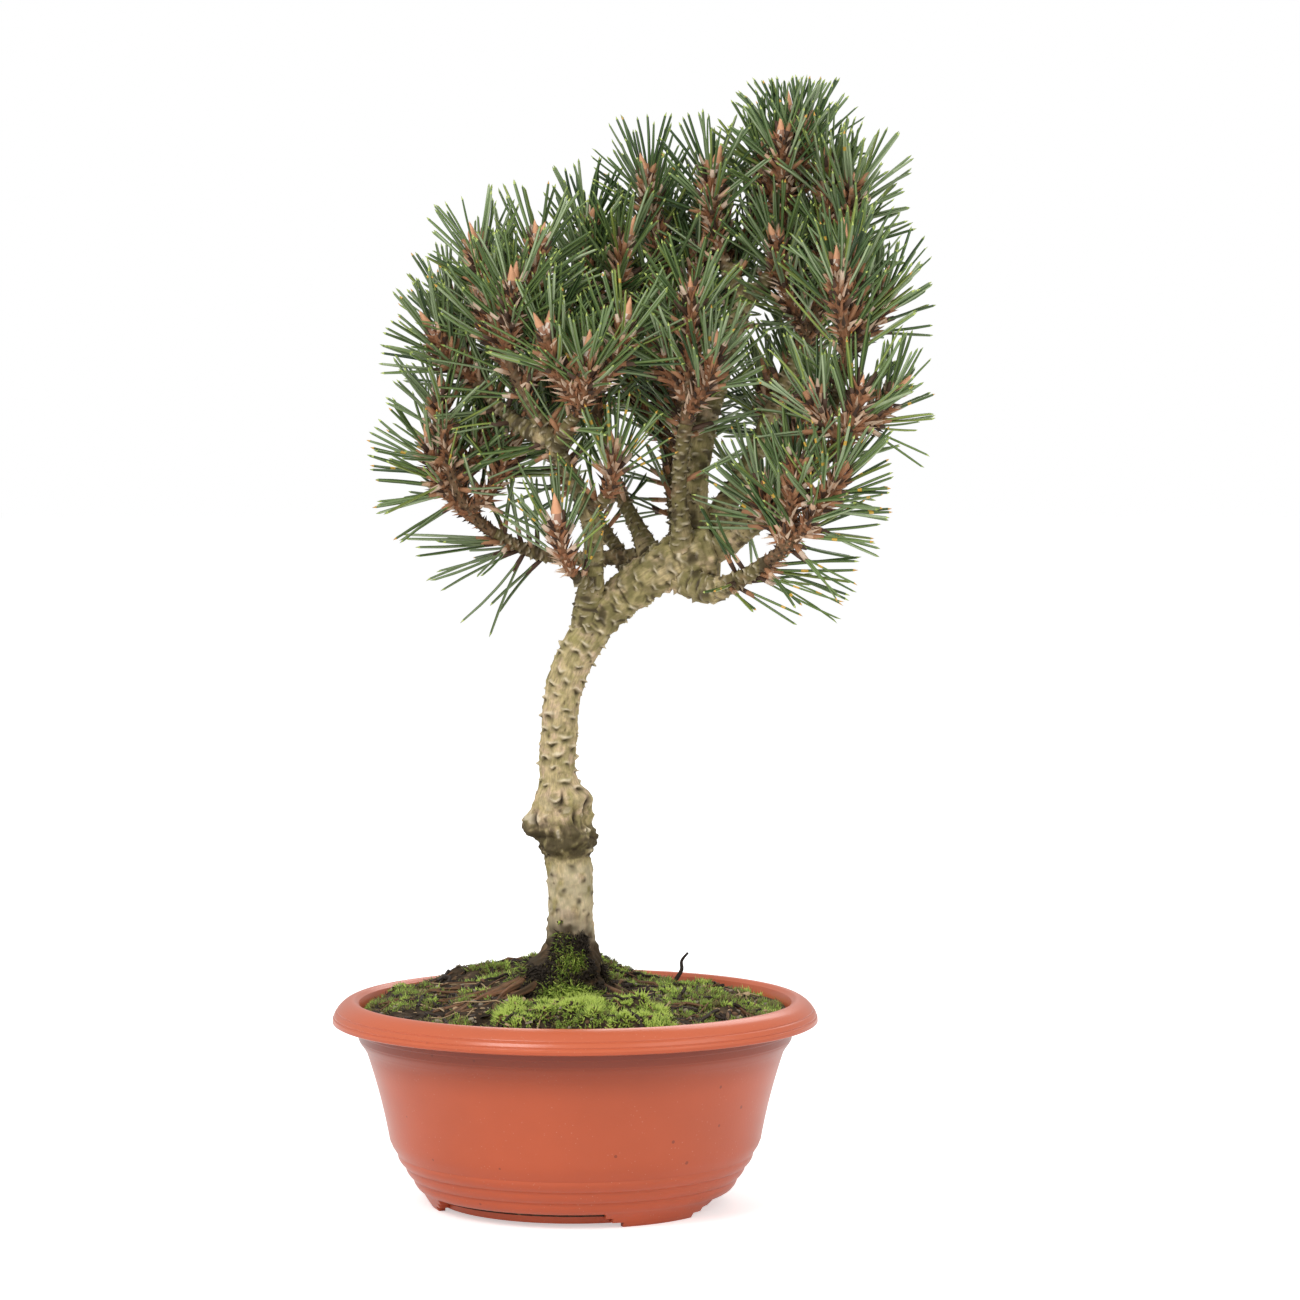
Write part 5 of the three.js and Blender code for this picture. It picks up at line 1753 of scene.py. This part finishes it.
def grow_buds(rng):
    """Pointed scaly buds at each shoot's tip: one, or two or three together."""
    parts = []
    for order, shoot in enumerate(SHOOTS):
        line = shoot.line
        heading = unit(line[-1] - line[-3])
        aside = unit(np.cross(heading, (0.3, 1, 0.2)))
        other = np.cross(heading, aside)
        number = 1 + (rng.random() < 0.35) + (rng.random() < 0.15)
        for bud in range(number):
            turn = FULL_TURN * bud / max(number, 1) + order
            lean = 0.0 if number == 1 else 0.28
            out = spoke(aside, other, turn)
            axis = unit(heading + out * lean)
            size = rng.uniform(0.35, 1.1) * (1 if bud == 0 else 0.8)
            foot = line[-1] - heading * 0.6 + out * (0.9 if number > 1 else 0)
            parts.append(one_bud(foot, axis, size))
    return parts


def one_bud(foot, axis, size):
    """A bud's places: rings of scales that stand out in turn, its tip and its foot."""
    across = unit(np.cross(axis, (0.2, 0.3, 1)))
    beside = np.cross(axis, across)
    places = []
    for ring, (at, wide) in enumerate(BUD_SECTION):
        for side in range(BUD_SIDES):
            turn = FULL_TURN * (side + 0.5 * (ring % 2)) / BUD_SIDES
            scale = 1 + (0.1 if (side + ring) % 3 == 0 and ring < 5 else -0.04)
            outward = spoke(across, beside, turn)
            places.append(foot + axis * BUD_LENGTH * size * at + outward * BUD_RADIUS * size * wide * scale)
    places.append(foot + axis * BUD_LENGTH * size)
    places.append(foot - axis * 0.3)
    return np.array(places)


BUD_COLOURS = (
    ("bud_tip", (0.74, 0.37, 0.2), 0.5), ("bud_scale", (0.42, 0.21, 0.13), 0.65),
    ("bud_fringe", (0.8, 0.68, 0.57), 0.8),
)


def make_buds(rng):
    """All buds: scales with pale fringes on the lower half, and a smooth reddish tip."""
    buds = np.stack(grow_buds(rng))
    rings = np.repeat(np.arange(len(BUD_SECTION) - 1), BUD_SIDES)
    fringed = (np.arange(len(rings)) + rings) % 3 == 0
    scaly = np.where(rings < 3, np.where(fringed, 2, 1), 0)
    materials = [new_material(*row)[0] for row in BUD_COLOURS]
    faces = tube_faces(len(BUD_SECTION), BUD_SIDES)
    new_copies("winter_buds", buds, faces, (scaly, 0, 1), materials)


# Moss and litter

def grow_spikes(roots, headings, lengths, widths):
    """Slim three-sided spikes, closed at the foot: leaves of moss, old scales and pegs."""
    across = unit(np.cross(headings, (0.31, 0.52, 0.8)))
    beside = np.cross(headings, across)
    points = []
    for side in range(3):
        turn = FULL_TURN * side / 3
        points.append(roots + spoke(across, beside, turn) * widths[:, None])
    points.append(roots + headings * lengths[:, None])
    return np.stack(points, 1)


SPIKE_FACES = np.array([(0, 1, 3), (1, 2, 3), (2, 0, 3), (2, 1, 0)])


def scatter_moss(count, rng):
    """Places of moss on the ground: dense on the cushion, and in patches elsewhere."""
    edge = SOIL_REACH - 1.5
    tries = count * 6
    radius = edge * np.sqrt(rng.random(tries))
    turn = rng.uniform(0, FULL_TURN, tries)
    x, y = radius * np.cos(turn), radius * np.sin(turn)
    place = level(x, y)
    patches = smoothstep(noise(place, 15, 71) + 0.6 * noise(place, 5, 72), -0.25, 0.2) * 0.8
    cover = np.maximum(patches, (cushion_share(x, y) > 0) * 1.0)
    keep = np.flatnonzero(rng.random(tries) < cover)[:count]
    return x[keep], y[keep]


def ground_normal(x, y):
    step = 0.8
    slope_x = (ground_height(x + step, y) - ground_height(x - step, y)) / (2 * step)
    slope_y = (ground_height(x, y + step) - ground_height(x, y - step)) / (2 * step)
    return unit(np.stack([-slope_x, -slope_y, np.ones_like(x)], -1))


def trunk_surface(height, angle_degrees):
    """A place on the trunk's plain surface at a height, and its outward direction."""
    row = int(np.argmin(np.abs(TRUNK_LINE[:, 2] - height)))
    share = line_length(TRUNK_LINE[:row + 1]) / TRUNK_LENGTH if row else 0
    radius = float(trunk_radius(share))
    angle = math.radians(angle_degrees)
    outward = np.array([math.sin(angle), -math.cos(angle), 0])
    return TRUNK_LINE[row] + outward * radius, outward


MOSS_GREENS = (
    ("moss_bright", (0.46, 0.58, 0.1)), ("moss_mid", (0.2, 0.29, 0.034)),
    ("moss_olive", (0.15, 0.13, 0.03)), ("moss_dark", (0.03, 0.019, 0.009)),
)

# Tones at which the moss turns to the next darker green: on the cushion, in patches and on the trunk.
LUSH_TONES = (0.1, 0.8, 1.2)
PATCH_TONES = (-0.8, -0.1, 0.6)
CLIMBING_TONES = (-0.55, -0.2, -0.05)
LEAVES_PER_TUFT = 5
TRUNK_MOSS_TOP = 127
TRUNK_MOSS_SPIKES = 10500


def make_moss(spikes, rng):
    """All moss as one mesh of spikes in tufts, with greens dealt out by patch and by the ground's lumps, as
    painted shade in hollows and painted light on tops.
    """
    tufts = spikes // LEAVES_PER_TUFT
    x, y = scatter_moss(tufts, rng)
    tuft_roots = np.stack([x, y, ground_height(x, y) - 0.3], -1)
    normals = ground_normal(x, y)
    roots = np.repeat(tuft_roots, LEAVES_PER_TUFT, 0) + rng.normal(0, 0.45, (len(x) * LEAVES_PER_TUFT, 3))
    roots[:, 2] = ground_height(roots[:, 0], roots[:, 1]) - 0.4
    headings = unit(np.repeat(normals, LEAVES_PER_TUFT, 0) + rng.normal(0, 0.5, roots.shape))
    lush = np.repeat(cushion_share(x, y) > 0, LEAVES_PER_TUFT)
    swell = 1 + 0.7 * noise(roots, 6, 77)
    lengths = rng.uniform(1.5, 3.4, len(roots)) * swell * np.where(lush, 1.15, 0.95)
    flat = roots * (1, 1, 0)
    # Painted shade and light: the tone follows the ground's lumps, darker green in hollows and brighter on
    # tops, with a random spread.
    tone = 0.7 * noise(flat, 8, 4) + 0.7 * noise(flat, 3, 5) + 0.6 * noise(roots, 9, 73)
    tone += rng.normal(0, 0.3, len(roots))
    tint = np.where(lush, np.digitize(-tone, LUSH_TONES), np.digitize(-tone, PATCH_TONES))
    climb_roots, climb_headings, climb_tint = climbing_moss(rng)
    roots = np.vstack([roots, climb_roots])
    headings = np.vstack([headings, climb_headings])
    lengths = np.concatenate([lengths, rng.uniform(1.8, 4.8, len(climb_roots))])
    tint = np.clip(np.concatenate([tint, climb_tint]), 0, 3)
    points = grow_spikes(roots, headings, lengths, 0.4 + 0.16 * rng.random(len(roots)))
    greens = plain_materials(MOSS_GREENS, 0.7)
    new_copies("moss", points, [SPIKE_FACES], [tint[:, None]], greens)


def climbing_moss(rng):
    """Moss over the front of the trunk's foot: green in the middle and dark fibres round it."""
    roots, headings, tones = [], [], []
    for _ in range(TRUNK_MOSS_SPIKES):
        rise = rng.random() ** 1.3
        angle = rng.uniform(-125, 95)
        ragged = 7 * noise_at((angle / 14, 0, 0), 1.0, 78)
        top = TRUNK_MOSS_TOP - 0.27 * max(angle, 0) + 0.16 * min(angle, 0) + ragged
        height = mix(92, top, rise)
        place, outward = trunk_surface(height, angle)
        lump = noise_at(place, 6, 76)
        if lump < -0.6 + 0.8 * rise:
            continue
        bulk = max(0.0, 3 * lump + 1.8) * (1 - 0.7 * rise) + foot_swell(height, math.radians(angle))
        roots.append(place + rng.normal(0, 0.4, 3) + outward * (1.12 * bulk - 0.2))
        headings.append(outward * 0.7 + rng.normal(0, 0.6, 3) + (0, 0, rng.uniform(-1.2, 0.3)))
        green = noise_at(place, 8, 75) + rng.normal(0, 0.25)
        green += 1.2 * bump(angle, 4, 36) * (1 - 0.5 * rise) - 0.5
        tones.append(-green)
    return np.array(roots), unit(np.array(headings)), np.digitize(tones, CLIMBING_TONES)


# The dark broken twig that stands out of the soil behind the trunk.
STUB = [(46, 70, 92), (49, 71, 97), (49, 72, 101), (52, 72, 105)]

LITTER_COLOURS = (
    ("litter_dark", (0.03, 0.018, 0.011)), ("litter_brown", (0.16, 0.08, 0.036)),
    ("litter_pale", (0.42, 0.29, 0.16)), ("litter_stone", (0.3, 0.25, 0.18)),
)
CHIPS = 1300
DEAD_NEEDLES = 60
TWIGS = 130
CHIP_SIDES = 6


def make_litter(rng):
    """Bark chips, small stones, twigs and dead needles on the soil, as one mesh of closed shapes."""
    parts = [one_chip(rng) for _ in range(CHIPS)]
    parts += [one_stick(rng, order < TWIGS) for order in range(DEAD_NEEDLES + TWIGS)]
    stub = smooth_line(STUB, 4)
    parts.append((rod(stub, np.linspace(1.2, 0.6, len(stub)), 6), 6, 0))
    places, faces = joined([part[:2] for part in parts])
    tints = np.repeat([part[2] for part in parts], 3)
    tints = np.repeat(tints, [len(shape) for shape in faces])
    materials = plain_materials(LITTER_COLOURS, 0.85)
    new_mesh("litter", places, faces, materials, tints, smooth=False)


def rod(points, radii, sides):
    """The places of a thin closed rod along points: its rings, its tip and its foot."""
    _, across, beside = frames_along(points)
    turn = (np.arange(sides) * FULL_TURN / sides)[:, None]
    ring = spoke(across[:, None], beside[:, None], turn)
    places = points[:, None] + ring * np.asarray(radii)[:, None, None]
    return np.vstack([places.reshape(-1, 3), points[-1], points[0]])


def random_spot(rng, edge):
    radius = edge * math.sqrt(rng.random())
    turn = rng.uniform(0, FULL_TURN)
    return radius * math.cos(turn), radius * math.sin(turn)


def one_chip(rng):
    """A flat angular chip or a rounder stone, lying on the ground at a tilt."""
    x, y = random_spot(rng, SOIL_REACH - 4)
    stone = rng.random() < 0.2
    reach = rng.uniform(0.8, 2.0) if stone else rng.uniform(0.8, 3.4)
    thick = reach * (rng.uniform(0.5, 0.8) if stone else rng.uniform(0.12, 0.25))
    normal = unit(np.array([*rng.normal(0, 0.3, 2), 1.0]))
    across = unit(np.cross(normal, rng.normal(0, 1, 3)))
    beside = np.cross(normal, across) * rng.uniform(0.35, 0.9)
    turns = (np.arange(CHIP_SIDES) + rng.uniform(-0.3, 0.3, CHIP_SIDES)) * FULL_TURN / CHIP_SIDES
    outline = reach * rng.uniform(0.75, 1.1, CHIP_SIDES)[:, None]
    ring = outline * spoke(across, beside, turns[:, None])
    ground = float(ground_height(np.array(x), np.array(y)))
    middle = np.array([x, y, ground + thick * 0.3])
    low, high = middle + ring - normal * thick / 2, middle + ring * 0.85 + normal * thick / 2
    places = np.vstack([low, high, middle + normal * thick * 0.6, middle - normal * thick / 2])
    return places, CHIP_SIDES, 3 if stone else rng.choice((0, 0, 1, 2))


def one_stick(rng, twig):
    """A crooked dark twig, or a brown dead needle, that lies over the ground."""
    x, y = random_spot(rng, SOIL_REACH - 10)
    turn = rng.uniform(0, FULL_TURN)
    length = rng.uniform(7, 22) if twig else rng.uniform(14, 30)
    lift = rng.uniform(0, 2.5) if twig else 0.9
    points = []
    for share in np.linspace(-0.5, 0.5, 5):
        spot = np.array([x, y]) + np.array([math.cos(turn), math.sin(turn)]) * length * share
        spot += rng.normal(0, 0.7 if twig else 0.2, 2)
        spot *= min(1, (SOIL_REACH - 3) / max(np.hypot(*spot), 1))
        points.append((*spot, float(ground_height(*spot)) + 0.4 + lift * (share + 0.5)))
    radius = rng.uniform(0.4, 1.0) if twig else 0.33
    tint = rng.choice((0, 0, 1)) if twig else rng.choice((1, 1, 2))
    sides = 5 if twig else 4
    return rod(np.array(points), np.full(5, radius), sides), sides, tint


# Operators


class PINE_OT_bowl(bpy.types.Operator):
    """Spin the bowl with its overhanging lip and terraces, and draw its three feet down"""

    bl_idname = "pine.bowl"
    bl_label = "Model Bowl"

    def execute(self, context):
        bowl = spun("bowl_shell", bowl_profile(), BOWL_STEPS)
        extrude_feet(bowl)
        apply_bevel(bowl, EDGE_WIDTH, 2, EDGE_ANGLE)
        bowl.data.materials.append(bowl_material(context.scene.pine_colours))
        smooth_by_angle(bowl, BOWL_SMOOTHING)
        settle(bowl, ["bowl"])
        return {"FINISHED"}


class PINE_OT_soil(bpy.types.Operator):
    """Fill the bowl with soil and raise its lumps and the cushion under the moss"""

    bl_idname = "pine.soil"
    bl_label = "Fill Soil"

    def execute(self, context):
        soil = spun("soil_bed", soil_profile(), SOIL_STEPS)
        raise_ground(soil.data)
        soil.data.materials.append(soil_material(context.scene.pine_colours))
        smooth_by_angle(soil, SOIL_SMOOTHING)
        settle(soil, ["soil"])
        return {"FINISHED"}


class PINE_OT_trunk(bpy.types.Operator):
    """Shape the trunk's bark, its graft union and its surface roots"""

    bl_idname = "pine.trunk"
    bl_label = "Shape Trunk"

    def execute(self, context):
        skins = [shape_trunk(context.scene.pine_sizes.scar_height / MM)]
        skins += [shape_root(*strand) for strand in root_strands()]
        make_bark("trunk_bark", "bark_trunk", context.scene.pine_colours, skins, ["trunk"])
        return {"FINISHED"}


class PINE_OT_boughs(bpy.types.Operator):
    """Shape every bough's bark, with its collar and close scars"""

    bl_idname = "pine.boughs"
    bl_label = "Shape Boughs"

    def execute(self, context):
        scar_height = context.scene.pine_sizes.scar_height / MM
        skins = [shape_bough(order, limb, scar_height) for order, limb in enumerate(LIMBS)]
        names = [limb.name for limb in LIMBS]
        make_bark("bough_bark", "bark_boughs", context.scene.pine_colours, skins, names)
        return {"FINISHED"}


class PINE_OT_shoots(bpy.types.Operator):
    """Grow the crown's shoots, with the scars that their needles stand on"""

    bl_idname = "pine.shoots"
    bl_label = "Grow Shoots"

    def execute(self, context):
        skins = [shape_shoot(order, shoot) for order, shoot in enumerate(SHOOTS)]
        names = [mass[0] for mass in MASSES]
        make_bark("shoot_bark", "bark_shoots", context.scene.pine_colours, skins, names)
        return {"FINISHED"}


class PINE_OT_needles(bpy.types.Operator):
    """Grow the needles in pairs with their papery sheaths, by the crown's rule"""

    bl_idname = "pine.needles"
    bl_label = "Grow Needles"

    def execute(self, context):
        rng = np.random.default_rng(NEEDLE_SEED)
        sizes = context.scene.pine_sizes
        sprays = spray_rule(sizes, rng)
        make_needles(sprays, sizes, rng)
        make_sheaths(sprays, rng)
        return {"FINISHED"}


class PINE_OT_buds(bpy.types.Operator):
    """Set the winter buds on the shoots' tips, and the scales and pegs on the stems"""

    bl_idname = "pine.buds"
    bl_label = "Set Buds"

    def execute(self, context):
        make_buds(np.random.default_rng(BUD_SEED))
        make_scales(np.random.default_rng(SCALE_SEED))
        return {"FINISHED"}


class PINE_OT_moss(bpy.types.Operator):
    """Grow moss on the cushion, over the ground in patches and up the trunk's foot"""

    bl_idname = "pine.moss"
    bl_label = "Grow Moss"

    def execute(self, context):
        make_moss(context.scene.pine_sizes.moss_spikes, np.random.default_rng(MOSS_SEED))
        return {"FINISHED"}


class PINE_OT_litter(bpy.types.Operator):
    """Scatter bark chips, small stones and dead needles over the soil"""

    bl_idname = "pine.litter"
    bl_label = "Scatter Litter"

    def execute(self, context):
        make_litter(np.random.default_rng(LITTER_SEED))
        return {"FINISHED"}


# The camera stands in front, a little above the crown's foot.
CAMERA_PLACE = (0.034, -1.75, 0.331)
CAMERA_AIM = (0.034, 0, 0.252)
CAMERA_LENS = 106.8
SENSOR_WIDTH = 36

# Lights: name, place, size and power.
LIGHTS = (
    ("key", (-1.3, -1.9, 2.3), 1.3, 52), ("fill", (1.9, -1.2, 1.4), 1.8, 16),
    ("rim", (0.4, 1.9, 1.9), 1.6, 22),
)
LIGHT_AIM = (0.02, 0, 0.25)

# The floor and the world glow with one strength for the camera and another as light.
FLOOR_SIZE = 60
FLOOR_GLOW = 0.5
FLOOR_BOUNCE = 0.1
WORLD_GLOW = 1.0
WORLD_LIGHT = 0.56


def set_glow(tree, shader, prefix, lit, seen):
    """White light from a shader: one strength as light, and another where the camera sees it."""
    put(tree, shader.inputs[prefix + "Color"], (1, 1, 1))
    ray = add_node(tree, "ShaderNodeLightPath").outputs["Is Camera Ray"]
    put(tree, shader.inputs[prefix + "Strength"], ranged(tree, ray, To_Min=lit, To_Max=seen))


def aimed(name, data, place, aim):
    """An object at a place, turned to face another place."""
    piece = added(name, data)
    piece.location = place
    piece.rotation_euler = (Vector(aim) - Vector(place)).to_track_quat("-Z", "Y").to_euler()
    return piece


class PINE_OT_stage(bpy.types.Operator):
    """Set the pale floor, the soft lights and the camera"""

    bl_idname = "pine.stage"
    bl_label = "Set Stage"

    def execute(self, context):
        scene = context.scene
        bpy.ops.object.select_all(action="DESELECT")
        bpy.ops.mesh.primitive_plane_add(size=FLOOR_SIZE)
        floor = context.active_object
        floor.name = "studio_floor"
        white, tree, shader = new_material("studio_white", (0.9, 0.9, 0.9), 0.9)
        set_glow(tree, shader, "Emission ", FLOOR_BOUNCE, FLOOR_GLOW)
        floor.data.materials.append(white)
        for name, place, size, power in LIGHTS:
            lamp = bpy.data.lights.new(name, "AREA")
            lamp.size = size
            lamp.energy = power
            aimed(name, lamp, place, LIGHT_AIM)
        scene.world = bpy.data.worlds.new("studio")
        scene.world.use_nodes = True
        sky = scene.world.node_tree
        set_glow(sky, sky.nodes["Background"], "", WORLD_LIGHT, WORLD_GLOW)
        camera = bpy.data.cameras.new("camera")
        camera.lens = CAMERA_LENS
        camera.sensor_width = SENSOR_WIDTH
        scene.camera = aimed("camera", camera, CAMERA_PLACE, CAMERA_AIM)
        scene.view_settings.view_transform = "Standard"
        return {"FINISHED"}


OPERATORS = (
    PINE_OT_stage, PINE_OT_bowl, PINE_OT_soil, PINE_OT_trunk, PINE_OT_boughs, PINE_OT_shoots,
    PINE_OT_needles, PINE_OT_buds, PINE_OT_moss, PINE_OT_litter,
)


class PINE_PT_panel(bpy.types.Panel):
    """The steps that dress the pine, in order"""

    bl_idname = "PINE_PT_panel"
    bl_label = "Potted Black Pine"
    bl_space_type = "VIEW_3D"
    bl_region_type = "UI"
    bl_category = "Pine"

    def draw(self, context):
        for group in (context.scene.pine_sizes, context.scene.pine_colours):
            for name in group.__annotations__:
                self.layout.prop(group, name)
        for operator in OPERATORS:
            self.layout.operator(operator.bl_idname)


CLASSES = (PineColours, PineSizes, *OPERATORS, PINE_PT_panel)


def register():
    for each in CLASSES:
        bpy.utils.register_class(each)
    bpy.types.Scene.pine_colours = PointerProperty(type=PineColours)
    bpy.types.Scene.pine_sizes = PointerProperty(type=PineSizes)


def unregister():
    del bpy.types.Scene.pine_sizes
    del bpy.types.Scene.pine_colours
    for each in reversed(CLASSES):
        bpy.utils.unregister_class(each)


def main():
    register()
    bpy.ops.pine.stage()
    bpy.ops.pine.bowl()
    bpy.ops.pine.soil()
    bpy.ops.pine.trunk()
    bpy.ops.pine.boughs()
    bpy.ops.pine.shoots()
    bpy.ops.pine.needles()
    bpy.ops.pine.buds()
    bpy.ops.pine.moss()
    bpy.ops.pine.litter()


if __name__ == "__main__":
    main()
